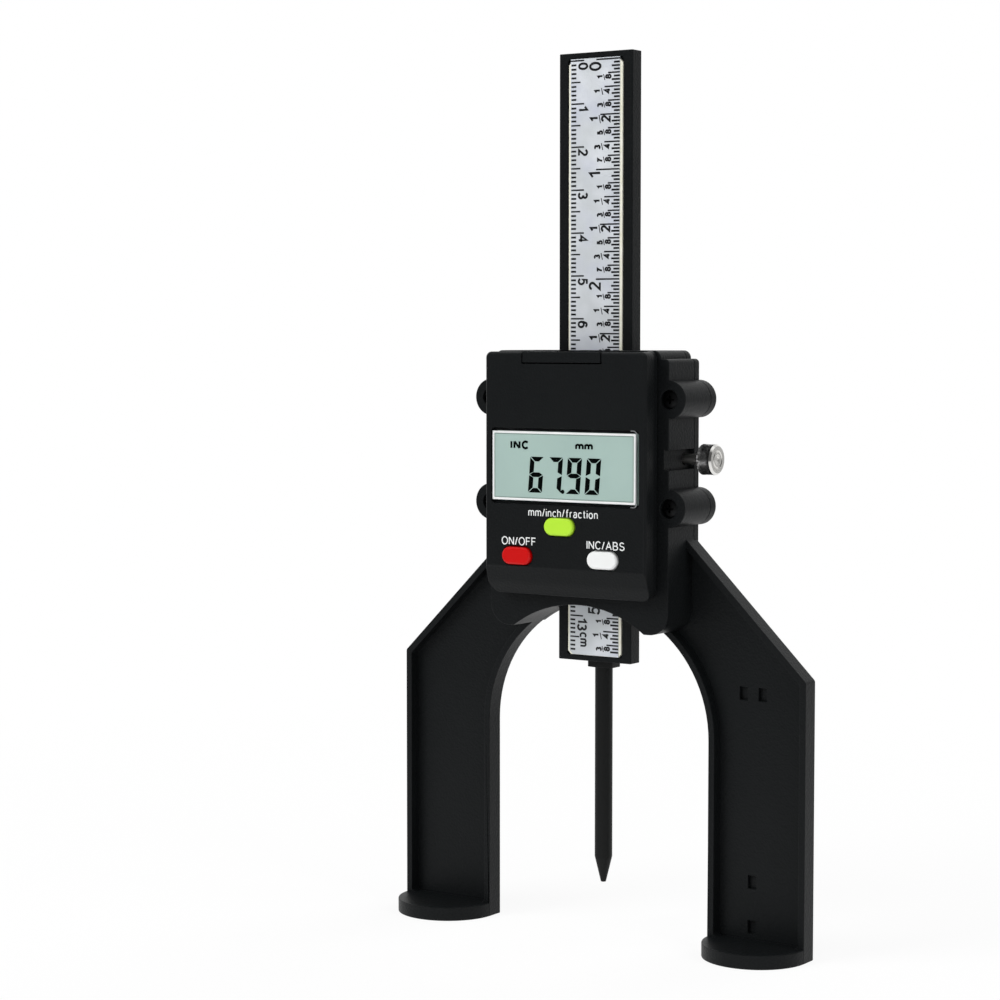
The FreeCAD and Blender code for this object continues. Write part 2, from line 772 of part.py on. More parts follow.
def readout_housing():
    """Front cover: display opening, button holes, battery notch and sloping chin."""
    cover = Solid("readout_housing")
    half = S.cover_width / 2
    outline = [
        (-half, COVER_FOOT, S.cover_foot_corner),
        (half, COVER_FOOT, S.cover_foot_corner),
        (half, S.cover_top, S.cover_corner),
        (-half, S.cover_top, S.cover_corner),
    ]
    cover.add("Y", (COVER_FRONT, COVER_BACK), outline)
    chin = [
        (COVER_FRONT - OVERSHOOT, CHIN_TOP),
        (COVER_FRONT, CHIN_TOP),
        (COVER_FRONT + S.chin_set_back, CHIN_TOP - S.chin_drop, S.chin_radius),
        (COVER_BACK - S.chin_land, COVER_FOOT),
        (COVER_BACK - S.chin_land, COVER_FOOT - OVERSHOOT),
        (COVER_FRONT - OVERSHOOT, COVER_FOOT - OVERSHOOT),
    ]
    cover.cut("X", (-half, half), chin)

    def on_front_rim(edge):
        box_ = edge.BoundBox
        at_front = box_.YMax < COVER_FRONT.value + 0.001
        at_side = min(abs(abs(box_.XMin) - half.value), abs(box_.ZMax - S.cover_top.value)) < 0.01
        return at_front and at_side and box_.ZMax > CHIN_TOP.value

    cover.round_edges(S.cover_edge, on_front_rim)
    posts = [(x, z, S.column_width / 2) for x, z in COLUMNS]
    inner = half - S.cover_side_wall
    height = (CHIN_TOP - S.chin_wall, S.cover_top - S.cover_wall)
    cover.cut("Y", (COVER_INNER, COVER_BACK), rectangle((-inner, inner), height, S.cavity_corner))
    cover.add("Y", (COVER_INNER, COVER_BACK), *posts)
    view = rectangle(span(0, S.view_width), (VIEW_FOOT, VIEW_TOP), S.view_corner)
    cover.cut("Y", (COVER_FRONT, COVER_INNER), view)
    lens_seat = COVER_FRONT + S.lens_depth + S.lens_gap / 2
    cover.cut("Y", (COVER_FRONT, lens_seat), lens_outline(S.lens_gap))
    holes = [
        stadium(x, z, S.button_width + 2 * S.button_gap, S.button_height + 2 * S.button_gap)
        for x, z in BUTTONS.values()
    ]
    cover.cut("Y", (COVER_FRONT, COVER_INNER), *holes)
    notch = rectangle(span(S.tray_middle, S.tray_width + 2 * S.fit_gap), (LID_FOOT - S.fit_gap, S.cover_top))
    cover.cut("Y", (COVER_FRONT, COVER_BACK), notch)
    hole = S.cover_shank / 2 + S.screw_gap
    cover.cut("Y", (COVER_INNER - S.post_sink, COVER_BACK), *[(x, z, hole) for x, z in COLUMNS])
    return cover.body


def lens_outline(gap):
    """Front view of the clear lens, grown by a gap."""
    x = span(0, S.view_width + 2 * S.lens_lip + 2 * gap)
    return rectangle(x, (VIEW_FOOT - S.lens_lip - gap, VIEW_TOP + S.lens_lip + gap), S.lens_corner)


def display_window():
    """Clear lens, flush with the cover's face."""
    lens = Solid("display_window")
    lens.add("Y", (COVER_FRONT, COVER_FRONT + S.lens_depth), lens_outline(0.0))
    return lens.body


GLASS_FRONT = COVER_INNER + S.lens_gap
GLASS_BACK = GLASS_FRONT + S.glass_depth
GLASS_FOOT = VIEW_FOOT - S.glass_margin
GLASS_TOP = VIEW_TOP + S.glass_margin


def lcd_panel():
    """Liquid crystal glass behind the lens."""
    x = span(0, S.view_width + 2 * S.glass_margin)
    return box("lcd_panel", x, (GLASS_FRONT, GLASS_BACK), (GLASS_FOOT, GLASS_TOP))


def lcd_connector():
    """Two conductive rubber strips from the glass to the board."""
    x = span(0, S.view_width - S.strip_inset)
    depth = (GLASS_BACK, MAIN_FRONT)
    lower = box("strip_lower", x, depth, (GLASS_FOOT, GLASS_FOOT + S.strip_depth))
    upper = box("strip_upper", x, depth, (GLASS_TOP - S.strip_depth, GLASS_TOP))
    return join("lcd_connector", [lower, upper])


def button(name, x, z):
    """Push button: domed cap through the cover, a flange behind it and a stem to its switch."""
    cap = Solid(name)
    face = COVER_FRONT - S.button_proud
    flange_front = COVER_INNER + S.fit_gap
    flange_back = flange_front + S.button_flange_depth
    cap.add("Y", (face, flange_front), stadium(x, z, S.button_width, S.button_height))
    wide = S.button_width + 2 * S.button_flange
    high = S.button_height + 2 * S.button_flange
    cap.add("Y", (flange_front, flange_back), rectangle(span(x, wide), span(z, high), S.button_flange_corner))
    stem_end = MAIN_FRONT - S.switch_height - S.button_travel - S.stem_gap
    cap.add("Y", (flange_back, stem_end), (x, z, S.button_stem / 2))
    front = face.value

    def on_face(edge):
        return edge.BoundBox.YMax < front + 0.001

    cap.round_edges(S.button_round, on_face)
    return cap.body


def button_switches():
    """Three snap domes on the main board, one behind each button."""
    reach = (MAIN_FRONT - S.switch_height, MAIN_FRONT)
    domes = [
        rod(f"switch_{i}", "Y", reach, (x, z), S.switch_diameter / 2)
        for i, (x, z) in enumerate(BUTTONS.values())
    ]
    return join("button_switches", domes)


def main_board():
    """Display and button board, notched round the four screw columns."""
    x = span(0, S.cavity_width - 2 * S.fit_gap)
    z = (CAVITY_FOOT + S.fit_gap, CAVITY_TOP - S.fit_gap)
    plate = box("main_board_plate", x, (MAIN_FRONT, MAIN_BACK), z)
    room = S.column_width + 2 * S.fit_gap
    notches = [
        box(f"main_board_notch_{i}", span(cx, room + S.column_root), (MAIN_FRONT, MAIN_BACK), span(cz, room))
        for i, (cx, cz) in enumerate(COLUMNS)
    ]
    return remove("main_board", plate, notches)


def sensor_board():
    """Sensing board that lies on the frame's ledges, over the graduated board."""
    return box("sensor_board", span(0, S.sensor_width), (SENSOR_FRONT, FLOOR), (SENSOR_FOOT, SENSOR_TOP))


def board_header():
    """Pin header between the two boards."""
    middle = SENSOR_FOOT + S.header_bar
    bar = box(
        "header_bar",
        span(0, S.header_width),
        (MAIN_BACK, MAIN_BACK + S.header_bar),
        span(middle, S.header_bar),
    )
    reach = (MAIN_BACK, SENSOR_FRONT)
    pins = [
        rod(f"header_pin_{i}", "Y", reach, (i * S.header_pitch, middle), S.header_pin / 2)
        for i in range(-3, 4)
    ]
    return join("board_header", [bar, *pins])


def controller_chip():
    """Controller on the back of the main board."""
    middle = (SENSOR_FOOT + S.header_bar * 2 + TRAY_FOOT) / 2
    depth = (MAIN_BACK, MAIN_BACK + S.chip_depth)
    return box("controller_chip", span(0, S.chip_width), depth, span(middle, S.chip_width))


def battery_contacts():
    """One leaf on each board, a hair off the drawer that slides between them."""
    x = span(S.tray_middle, S.contact_width)
    z = span(CELL_HEIGHT, S.contact_height)
    tongue = span(CELL_HEIGHT, S.contact_tongue)
    plus_foot = box("plus_foot", x, (MAIN_BACK, MAIN_BACK + S.contact_leaf), z)
    plus_tongue = box("plus_tongue", x, (MAIN_BACK, TRAY_FRONT - S.cell_gap), tongue)
    minus_foot = box("minus_foot", x, (SENSOR_FRONT - S.contact_leaf, SENSOR_FRONT), z)
    minus_tongue = box("minus_tongue", x, (TRAY_BACK + S.cell_gap, SENSOR_FRONT), tongue)
    return join("battery_contacts", [plus_foot, plus_tongue, minus_foot, minus_tongue])


def battery_tray():
    """Drawer for the coin cell: its lid closes the notch at the top of the front cover."""
    tray = Solid("battery_tray")
    x = span(S.tray_middle, S.tray_width)
    tray.add("Z", (TRAY_FOOT, LID_FOOT), rectangle(x, (TRAY_FRONT, TRAY_BACK)))
    tray.add("Z", (LID_FOOT, S.cover_top), rectangle(x, (COVER_FRONT, TRAY_BACK)))
    cell_room = S.cell_diameter / 2 + S.cell_gap
    tray.cut("Y", (TRAY_FRONT, TRAY_BACK - S.tray_web), (S.tray_middle, CELL_HEIGHT, cell_room))
    tray.cut("Y", (TRAY_BACK - S.tray_web, TRAY_BACK), (S.tray_middle, CELL_HEIGHT, S.tray_window / 2))
    return tray.body


def coin_cell():
    """Three-volt coin cell, with its stepped negative cap at the back."""
    back = TRAY_BACK - S.tray_web - S.cell_gap
    front = back - S.cell_depth
    step = back - S.cell_step
    can = rod("cell_can", "Y", (front, step), (S.tray_middle, CELL_HEIGHT), S.cell_diameter / 2)
    cap = rod("cell_cap", "Y", (step, back), (S.tray_middle, CELL_HEIGHT), S.cell_cap / 2)
    return join("coin_cell", [can, cap])


# The beam and its probe


def beam():
    """Rule body: a tray for the graduated board in front, the stop groove and the clip's recess behind."""
    bar = Solid("beam")
    bar.add("Z", (S.beam_foot, BEAM_TOP), rectangle(span(0, S.beam_width), (Y0, BEAM_BACK)))
    board_foot = S.beam_foot + (S.beam_length - S.board_length) / 2
    room = rectangle(
        span(0, S.board_width + 2 * S.board_gap),
        (board_foot - S.board_gap, board_foot + S.board_length + S.board_gap),
        S.board_chamfer,
    )
    bar.cut("Y", (Y0, Y0 + S.board_depth - S.board_proud), room)
    reach = S.stop_pin / 2 + S.slide_gap
    groove = rectangle(
        (-reach, reach), (S.stop_height - S.travel_up - reach, S.stop_height + S.travel_down + reach)
    )
    bar.cut("Y", (BEAM_BACK - S.stop_depth, BEAM_BACK), groove)
    bar.cut("Y", (CLIP_FRONT - S.slide_gap, BEAM_BACK), clip_outline(S.slide_gap, S.beam_foot))

    def on_long_side(edge):
        bounds = edge.BoundBox
        at_side = abs(abs(bounds.XMin) - S.beam_width.value / 2) < 0.001
        return at_side and bounds.ZLength > S.beam_length.value * 0.9 and bounds.YMax < Y0.value + 0.01

    bar.round_edges(S.beam_round, on_long_side)
    return bar.body


def clip_outline(gap, foot):
    """Rear view of the clip: a straight plate with an ear out to each side at its top."""
    gap = to_size(gap)
    neck = S.clip_width / 2 + gap
    ear = S.ear_width / 2 + gap
    top = S.beam_foot + S.clip_height + gap
    under = S.beam_foot + S.clip_height - S.ear_height - gap
    return [
        (-neck, foot),
        (neck, foot),
        (neck, under),
        (ear, under + S.ear_slope),
        (ear, top),
        (-ear, top),
        (-ear, under + S.ear_slope),
        (-neck, under),
    ]


def diamond(height):
    """A diamond hole about a point on the probe's middle line."""
    wide = S.diamond_width / 2
    tall = S.diamond_height / 2
    return [(-wide, height), (to_size(0), height - tall), (wide, height), (to_size(0), height + tall)]


def probe():
    """Snap-in probe: split clip with two diamond holes, shoulder, round rod and tapered point."""
    pin = Solid("probe")
    radius = S.probe_diameter / 2
    shoulder_foot = S.beam_foot - S.shoulder_height
    profile = [
        (to_size(0), S.probe_tip),
        (S.probe_point / 2, S.probe_tip),
        (radius, S.probe_tip + S.probe_taper),
        (radius, shoulder_foot),
        (to_size(0), shoulder_foot),
    ]
    pin.turn(profile, (to_size(0), PROBE_Y))
    shoulder = rectangle(span(0, S.shoulder_width), span(PROBE_Y, S.probe_diameter), S.shoulder_corner)
    pin.add("Z", (shoulder_foot, S.beam_foot), shoulder)
    plate = (CLIP_FRONT, BEAM_BACK)
    pin.add("Y", plate, clip_outline(0.0, S.beam_foot))
    clip_top = S.beam_foot + S.clip_height
    split_foot = clip_top - S.split_height
    pin.cut("Y", plate, rectangle(span(0, S.split_width), (split_foot, clip_top)))
    pin.cut("Y", plate, diamond(split_foot))
    pin.cut("Y", plate, diamond(S.beam_foot + S.diamond_height))
    return pin.body


BOARD_FOOT = S.beam_foot + (S.beam_length - S.board_length) / 2
BOARD_FRONT = Y0 - S.board_proud


def scale_board():
    """Pale board let into the beam's front."""
    board = Solid("scale_board")
    z = (BOARD_FOOT, BOARD_FOOT + S.board_length)
    outline = rectangle(span(0, S.board_width), z, S.board_chamfer)
    board.add("Y", (BOARD_FRONT, BOARD_FRONT + S.board_depth), outline)
    return board.body


def scale_label():
    """Printed film on the board."""
    foot = BOARD_FOOT + (S.board_length - S.label_length) / 2
    return box(
        "scale_label", span(0, S.label_width), (LABEL_FACE, BOARD_FRONT), (foot, foot + S.label_length)
    )


def beam_spring():
    """Bowed leaf in the channel's left side, which takes up the beam's play."""
    leaf = Solid("beam_spring")
    back = -CHANNEL - S.spring_recess
    low, high = span(S.spring_height, S.spring_length)
    rise = S.spring_rise
    thick = S.spring_leaf
    bow = [
        (back, low),
        (back + thick, low),
        (back + thick + rise, S.spring_height - S.spring_length / 6, S.spring_length / 3),
        (back + thick + rise, S.spring_height + S.spring_length / 6, S.spring_length / 3),
        (back + thick, high),
        (back, high),
        (back + rise, S.spring_height + S.spring_length / 6, S.spring_length / 3),
        (back + rise, S.spring_height - S.spring_length / 6, S.spring_length / 3),
    ]
    leaf.add("Y", (FLOOR + S.spring_ledge + S.fit_gap, SEAT - S.fit_gap), bow)
    return leaf.body


# Magnets, screws and the lock


def magnet(name, side):
    """Disc magnet in one foot, just clear of the ground."""
    low = S.foot_recess / 2
    return rod(
        name, "Z", (low, low + S.magnet_depth), (side * FOOT_MIDDLE, MAGNET_Y), S.magnet_diameter / 2
    )


def case_screws():
    """Screws from the front of each boss into the rear cover."""
    screws = []
    head_back = BLOCK_FRONT + S.case_sink
    end = SEAT + S.ear_depth - S.ear_skin - S.head_gap
    for i, (x, z) in enumerate(BOSSES):
        head = rod(f"case_head_{i}", "Y", (head_back - S.case_head_depth, head_back), (x, z), S.case_head / 2)
        shank = rod(f"case_shank_{i}", "Y", (head_back, end), (x, z), S.case_shank / 2)
        screws += [head, shank]
    return join("case_screws", screws)


def cover_screws():
    """Screws from behind, through the columns into the front cover's posts."""
    screws = []
    head_front = SEAT - S.cover_head_depth - S.head_gap
    end = COVER_INNER - S.post_sink + S.post_gap
    for i, (x, z) in enumerate(COLUMNS):
        head = rod(f"cover_head_{i}", "Y", (head_front, SEAT - S.head_gap), (x, z), S.cover_head / 2)
        shank = rod(f"cover_shank_{i}", "Y", (end, head_front), (x, z), S.cover_shank / 2)
        screws += [head, shank]
    return join("cover_screws", screws)


def lock_screw():
    """Knurled thumb screw whose end meets the shoe."""
    shank = rod(
        "lock_shank",
        "X",
        (CHANNEL + S.shoe_length, S.knob_start),
        (LOCK_Y, LOCK_HEIGHT),
        S.lock_shank / 2,
    )
    knob = rod(
        "lock_knob",
        "X",
        (S.knob_start, S.knob_start + S.knob_length),
        (LOCK_Y, LOCK_HEIGHT),
        S.knob_diameter / 2,
    )
    whole = join("lock_screw_blank", [shank, knob])
    rim = doc.addObject("Part::Chamfer", "lock_screw")
    doc.recompute()
    rim.Base = whole
    ends = (S.knob_start.value, (S.knob_start + S.knob_length).value)
    rim.Edges = [
        (i, S.knob_chamfer.value, S.knob_chamfer.value)
        for i, edge in enumerate(whole.Shape.Edges, start=1)
        if edge.Curve.TypeId == "Part::GeomCircle"
        and abs(edge.Curve.Radius - S.knob_diameter.value / 2) < 0.01
        and min(abs(edge.BoundBox.XMin - end) for end in ends) < 0.01
    ]
    return rim


def lock_nut():
    """Square nut held in the block's side."""
    blank = box(
        "lock_nut_blank",
        (S.nut_start, S.nut_start + S.nut_depth),
        span(LOCK_Y, S.nut_width),
        span(LOCK_HEIGHT, S.nut_width),
    )
    bore = rod(
        "lock_nut_bore",
        "X",
        (S.nut_start, S.nut_start + S.nut_depth),
        (LOCK_Y, LOCK_HEIGHT),
        S.lock_shank / 2 + S.screw_gap,
    )
    return remove("lock_nut", blank, [bore])


def lock_shoe():
    """Brass shoe that the thumb screw presses on the beam's edge."""
    return box(
        "lock_shoe",
        (CHANNEL, CHANNEL + S.shoe_length),
        span(LOCK_Y, S.shoe_width),
        span(LOCK_HEIGHT, S.shoe_height),
    )


def check(nodes):
    """Stops where a feature failed, cut nothing, or left a sub-part without a sound solid."""
    for thing in doc.Objects:
        if "Invalid" in thing.State or "Error" in thing.State:
            raise RuntimeError(f"{thing.Name} failed: {thing.State}")
        if thing.TypeId == "PartDesign::Pocket":
            if thing.Shape.Volume > thing.BaseFeature.Shape.Volume - 1e-4:
                raise RuntimeError(f"{thing.Name} cuts nothing")
    for node in nodes:
        if node.Shape.isNull() or not node.Shape.isValid() or not node.Shape.Solids:
            raise RuntimeError(f"{node.Name} has no valid solid")


def main():
    """Builds every sub-part, checks it and writes its file."""
    nodes = [
        stand_frame(),
        rear_cover(),
        readout_housing(),
        display_window(),
        lcd_panel(),
        lcd_connector(),
        main_board(),
        sensor_board(),
        board_header(),
        controller_chip(),
        button_switches(),
        battery_contacts(),
        battery_tray(),
        coin_cell(),
        beam(),
        scale_board(),
        scale_label(),
        probe(),
        beam_spring(),
        lock_screw(),
        lock_nut(),
        lock_shoe(),
        magnet("left_magnet", -1),
        magnet("right_magnet", 1),
        case_screws(),
        cover_screws(),
    ]
    nodes += [button(name, x, z) for name, (x, z) in BUTTONS.items()]
    doc.recompute()
    check(nodes)
    os.makedirs("parts", exist_ok=True)
    for node in nodes:
        node.Shape.exportStep(f"parts/{node.Label}.step")
        bounds = node.Shape.BoundBox
        print(f"{node.Label}: {bounds.XLength:.1f} x {bounds.YLength:.1f} x {bounds.ZLength:.1f}")


main()
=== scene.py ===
"""Digital depth gauge on its bridge stand, dressed and lit for a studio picture.

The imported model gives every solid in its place. Each class below stands for one sub-assembly: its fields are
sizes in millimetres, as on a drawing, and its methods build what the solids leave out and give every face its
finish. X runs to the right as the display is read, Y to the back and Z up from the ground.
"""

from __future__ import annotations

import json
import logging
import math
from dataclasses import dataclass
from enum import Enum
from typing import Any

import bmesh
import bpy
from bmesh.types import BMEdge, BMesh, BMVert
from mathutils import Matrix, Vector

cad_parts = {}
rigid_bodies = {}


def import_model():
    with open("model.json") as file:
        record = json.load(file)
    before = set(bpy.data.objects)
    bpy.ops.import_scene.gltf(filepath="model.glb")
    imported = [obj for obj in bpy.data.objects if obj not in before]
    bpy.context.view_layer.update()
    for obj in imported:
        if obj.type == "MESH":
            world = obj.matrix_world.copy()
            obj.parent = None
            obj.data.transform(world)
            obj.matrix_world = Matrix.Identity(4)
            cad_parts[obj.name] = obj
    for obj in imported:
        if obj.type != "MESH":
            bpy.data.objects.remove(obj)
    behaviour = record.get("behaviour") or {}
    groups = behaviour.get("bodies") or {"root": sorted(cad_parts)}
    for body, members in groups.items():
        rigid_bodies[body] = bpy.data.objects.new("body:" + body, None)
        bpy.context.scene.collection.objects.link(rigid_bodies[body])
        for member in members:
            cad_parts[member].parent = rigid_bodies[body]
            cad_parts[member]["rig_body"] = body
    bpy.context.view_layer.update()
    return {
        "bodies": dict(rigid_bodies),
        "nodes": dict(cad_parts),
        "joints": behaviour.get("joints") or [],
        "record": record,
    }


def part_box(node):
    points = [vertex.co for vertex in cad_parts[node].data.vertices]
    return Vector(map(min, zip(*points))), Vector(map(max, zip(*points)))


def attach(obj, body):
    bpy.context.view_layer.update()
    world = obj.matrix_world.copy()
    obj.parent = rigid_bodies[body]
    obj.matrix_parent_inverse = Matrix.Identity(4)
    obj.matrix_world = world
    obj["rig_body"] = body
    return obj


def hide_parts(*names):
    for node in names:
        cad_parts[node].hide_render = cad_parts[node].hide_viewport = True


log = logging.getLogger("depth_gauge")

MM = 0.001
INCH = 25.4
PRINT_DEPTH = 0.02
# Points nearer than this are one point, on a solid and in print
WELD = 0.002
PRINT_WELD = 0.0005
# Faces that meet within this angle are one flat face
FLAT_ANGLE = math.radians(1.0)
# Letters' strokes stand proud of one another by this, so that no two of their faces share a plane
STROKE_LIFT = 0.001
# Degrees: the 22.5 between a face and its broken edge shade smooth, the 45 on that edge's ridge stay sharp
SOFT_CREASE = 24.0
# Degrees between two points of a printed arc
ARC_STEP = 20
# How much the large faces lead the normals of a softened piece, of 100, so that flat faces look flat
FACE_WEIGHT = 100


# Materials


def linear(code: str) -> tuple[float, float, float, float]:
    """Turns an sRGB hex colour into linear light.

    Args:
        code: The colour as a hash and six hex digits.

    Returns:
        Red, green, blue and an alpha of one.
    """
    channels = [int(code[i : i + 2], 16) / 255 for i in (1, 3, 5)]
    red, green, blue = (c / 12.92 if c <= 0.04045 else ((c + 0.055) / 1.055) ** 2.4 for c in channels)
    return red, green, blue, 1.0


def per_mm(size: float) -> float:
    """The scale at which a pattern repeats about once in this many millimetres."""
    return 1.0 / (size * MM)


def add_node(
    tree: bpy.types.NodeTree,
    kind: str,
    sockets: dict[str | int, Any] | None = None,
    output: str | int = 0,
    **settings: Any,
) -> Any:
    """Adds a shader node with its settings and links.

    Args:
        tree: The node tree that it goes in.
        kind: The node's type, without its prefix.
        sockets: Input sockets by name or number, each with a value or with an output socket to link.
        output: The name or number of the output socket that is asked for.
        settings: The node's own options.

    Returns:
        That output socket, or None where the node has none.
    """
    node = tree.nodes.new(f"ShaderNode{kind}")
    for name, value in settings.items():
        setattr(node, name, value)
    for name, value in (sockets or {}).items():
        if isinstance(value, bpy.types.NodeSocket):
            tree.links.new(value, node.inputs[name])
        else:
            node.inputs[name].default_value = value
    return node.outputs[output] if len(node.outputs) else None


class Finish:
    """What a surface is made of and how it was made; a subclass wires its own nodes."""

    name: str

    def material(self) -> bpy.types.Material:
        """The finish as a material, made the first time it is asked for.

        Returns:
            The one material with this finish's name.
        """
        made = bpy.data.materials.get(self.name)
        if made is None:
            made = bpy.data.materials.new(self.name)
            made.use_nodes = True
            made.node_tree.nodes.clear()
            add_node(made.node_tree, "OutputMaterial", {"Surface": self.wire(made.node_tree)})
        return made

    def wire(self, tree: bpy.types.NodeTree) -> Any:
        """Adds the finish's nodes and returns its shader's socket."""
        raise NotImplementedError


@dataclass(frozen=True)
class MouldedPlastic(Finish):
    """Injection-moulded plastic: even colour with a slow mottle, and the grain of a spark-eroded mould."""

    name: str
    colour: str
    mottle: str
    roughness: float = 0.32
    grain: float = 0.4
    relief: float = 0.002
    ior: float = 1.53
    specular: float = 0.5
    mottle_size: float = 16.0
    play: float = 0.06
    bump: float = 0.5

    def wire(self, tree: bpy.types.NodeTree) -> Any:
        """Mottles the colour, and varies roughness and height with the grain.

        Args:
            tree: The material's node tree.

        Returns:
            The shader's socket.
        """
        place = add_node(tree, "TexCoord", output="Object")
        slow = {"Vector": place, "Scale": per_mm(self.mottle_size), "Detail": 3.0}
        fine = {"Vector": place, "Scale": per_mm(self.grain), "Detail": 2.0}
        tones = {0: add_node(tree, "TexNoise", slow), 6: linear(self.colour), 7: linear(self.mottle)}
        grain = add_node(tree, "TexNoise", fine)
        rough = {"Value": grain, "To Min": self.roughness - self.play, "To Max": self.roughness + self.play}
        bumps = {"Height": grain, "Strength": self.bump, "Distance": self.relief * MM}
        surface = {
            "Base Color": add_node(tree, "Mix", tones, 2, data_type="RGBA"),
            "Roughness": add_node(tree, "MapRange", rough),
            "Normal": add_node(tree, "Bump", bumps),
            "IOR": self.ior,
            "Specular IOR Level": self.specular,
        }
        return add_node(tree, "BsdfPrincipled", surface)


class Working(Enum):
    """How the last tool left a metal face."""

    TURNED = "rings about an axis along X"
    PLATED = "an even skin with a slow ripple"


@dataclass(frozen=True)
class WorkedMetal(Finish):
    """Metal with tool marks: rings where it was turned, a slow ripple where it was only plated."""

    name: str
    colour: str
    stain: str
    roughness: float
    spacing: float
    relief: float = 0.01
    working: Working = Working.PLATED
    centre: tuple[float, float, float] = (0.0, 0.0, 0.0)
    stain_size: float = 3.0
    play: tuple[float, float] = (-0.05, 0.08)
    bump: float = 0.4

    def wire(self, tree: bpy.types.NodeTree) -> Any:
        """Draws the tool marks and a slight tarnish; on the knurl the same two-tone mix is a painted speckle
        of glints and shade.

        Args:
            tree: The material's node tree.

        Returns:
            The shader's socket.
        """
        place = add_node(tree, "TexCoord", output="Object")
        middle = [-c * MM for c in self.centre]
        centred = {"Vector": add_node(tree, "Mapping", {"Vector": place, "Location": middle})}
        if self.working is Working.PLATED:
            ripple = {"Scale": per_mm(self.spacing), "Detail": 3.0}
            marks = add_node(tree, "TexNoise", centred | ripple)
        else:
            # The wave texture repeats every 2 pi over 20 of its scale
            rings = {"Scale": per_mm(self.spacing) * math.pi / 10, "Distortion": 0.6, "Detail": 2.0}
            marks = add_node(
                tree, "TexWave", centred | rings, "Fac", wave_type="RINGS", rings_direction="X"
            )
        # A slight tarnish, and on the knurl a painted speckle of glints and shade
        tarnish_and_glints = {"Vector": place, "Scale": per_mm(self.stain_size), "Detail": 4.0}
        tones = {0: add_node(tree, "TexNoise", tarnish_and_glints), 6: linear(self.colour), 7: linear(self.stain)}
        low, high = (self.roughness + play for play in self.play)
        bumps = {"Height": marks, "Strength": self.bump, "Distance": self.relief * MM}
        surface = {
            "Base Color": add_node(tree, "Mix", tones, 2, data_type="RGBA"),
            "Roughness": add_node(tree, "MapRange", {"Value": marks, "To Min": low, "To Max": high}),
            "Normal": add_node(tree, "Bump", bumps),
            "Metallic": 1.0,
        }
        return add_node(tree, "BsdfPrincipled", surface)


@dataclass(frozen=True)
class ClearAcrylic(Finish):
    """Cast acrylic, polished: almost unseen but for its highlights and a trace of haze from handling."""

    name: str
    tint: str
    opacity: float
    roughness: float
    haze: float = 0.08
    haze_size: float = 6.0
    ior: float = 1.49

    def wire(self, tree: bpy.types.NodeTree) -> Any:
        """Lets the light through, with a faint unevenness in the polish.

        Args:
            tree: The material's node tree.

        Returns:
            The shader's socket.
        """
        place = add_node(tree, "TexCoord", output="Object")
        wiped = {"Vector": place, "Scale": per_mm(self.haze_size), "Detail": 4.0}
        haze = add_node(tree, "TexNoise", wiped)
        rough = {"Value": haze, "To Min": self.roughness, "To Max": self.roughness + self.haze}
        surface = {
            "Base Color": linear(self.tint),
            "Roughness": add_node(tree, "MapRange", rough),
            "IOR": self.ior,
            "Alpha": self.opacity,
        }
        return add_node(tree, "BsdfPrincipled", surface)


@dataclass(frozen=True)
class PatchedFilm(Finish):
    """Film or glass whose tone drifts in soft patches, with a fine speckle: foil, polariser or laminate."""

    name: str
    colour: str
    patch: str
    second_patch: str
    patch_size: float
    speckle: float
    roughness: float
    ior: float = 1.5
    strength: float = 0.5
    specular: float = 0.5
    play: tuple[float, float] = (-0.05, 0.1)
    cover: tuple[float, float] = (0.42, 0.68)
    shift: float = 0.13
    shift_up: float = 0.07

    def wire(self, tree: bpy.types.NodeTree) -> Any:
        """Lays two sets of soft patches over the ground colour and speckles the roughness.

        Args:
            tree: The material's node tree.

        Returns:
            The shader's socket.
        """
        place = add_node(tree, "TexCoord", output="Object")
        colour = linear(self.colour)
        start, end = self.cover
        for shift, tone in ((0.0, self.patch), (self.shift, self.second_patch)):
            moved = add_node(tree, "Mapping", {"Vector": place, "Location": (shift, 0.0, self.shift_up)})
            soft = {"Vector": moved, "Scale": per_mm(self.patch_size), "Detail": 2.0}
            cloud = {"Value": add_node(tree, "TexNoise", soft), "From Min": start, "From Max": end}
            share = add_node(tree, "MapRange", cloud | {"To Min": 0.0, "To Max": self.strength})
            colour = add_node(tree, "Mix", {0: share, 6: colour, 7: linear(tone)}, 2, data_type="RGBA")
        fine = {"Vector": place, "Scale": per_mm(self.speckle), "Detail": 2.0}
        low, high = (self.roughness + play for play in self.play)
        rough = {"Value": add_node(tree, "TexNoise", fine), "To Min": low, "To Max": high}
        surface = {
            "Base Color": colour,
            "Roughness": add_node(tree, "MapRange", rough),
            "IOR": self.ior,
            "Specular IOR Level": self.specular,
        }
        return add_node(tree, "BsdfPrincipled", surface)


# Spark-eroded ABS: near black with a cool, satin sheen
BLACK_ABS = MouldedPlastic(
    "moulded_black_abs", "#161819", "#121415", roughness=0.42, grain=0.5, relief=0.2, specular=0.13
)
# Glass-filled nylon: a little browner and rougher than the housing
BLACK_NYLON = MouldedPlastic(
    "moulded_black_nylon", "#161717", "#121313", roughness=0.45, grain=0.6, relief=0.014, specular=0.16
)
# Pigmented ABS keys: saturated, semi-gloss, with no grain to speak of
RED_KEY = MouldedPlastic("moulded_red_abs", "#cc0303", "#be0303", specular=0.25)
GREEN_KEY = MouldedPlastic("moulded_lime_abs", "#b9eb3c", "#aede32", specular=0.35)
WHITE_KEY = MouldedPlastic("moulded_white_abs", "#f2f3f2", "#e8eae9")
# Silicone loaded with carbon: dull black, slightly tacky
CONDUCTIVE_RUBBER = MouldedPlastic(
    "carbon_filled_silicone", "#242424", "#1c1c1c", roughness=0.75, grain=0.3, relief=0.01, ior=1.41
)
# Moulding epoxy of a chip: grey black and matt
CHIP_EPOXY = MouldedPlastic(
    "epoxy_moulding_compound", "#26272a", "#202124", roughness=0.6, grain=0.2, relief=0.006
)
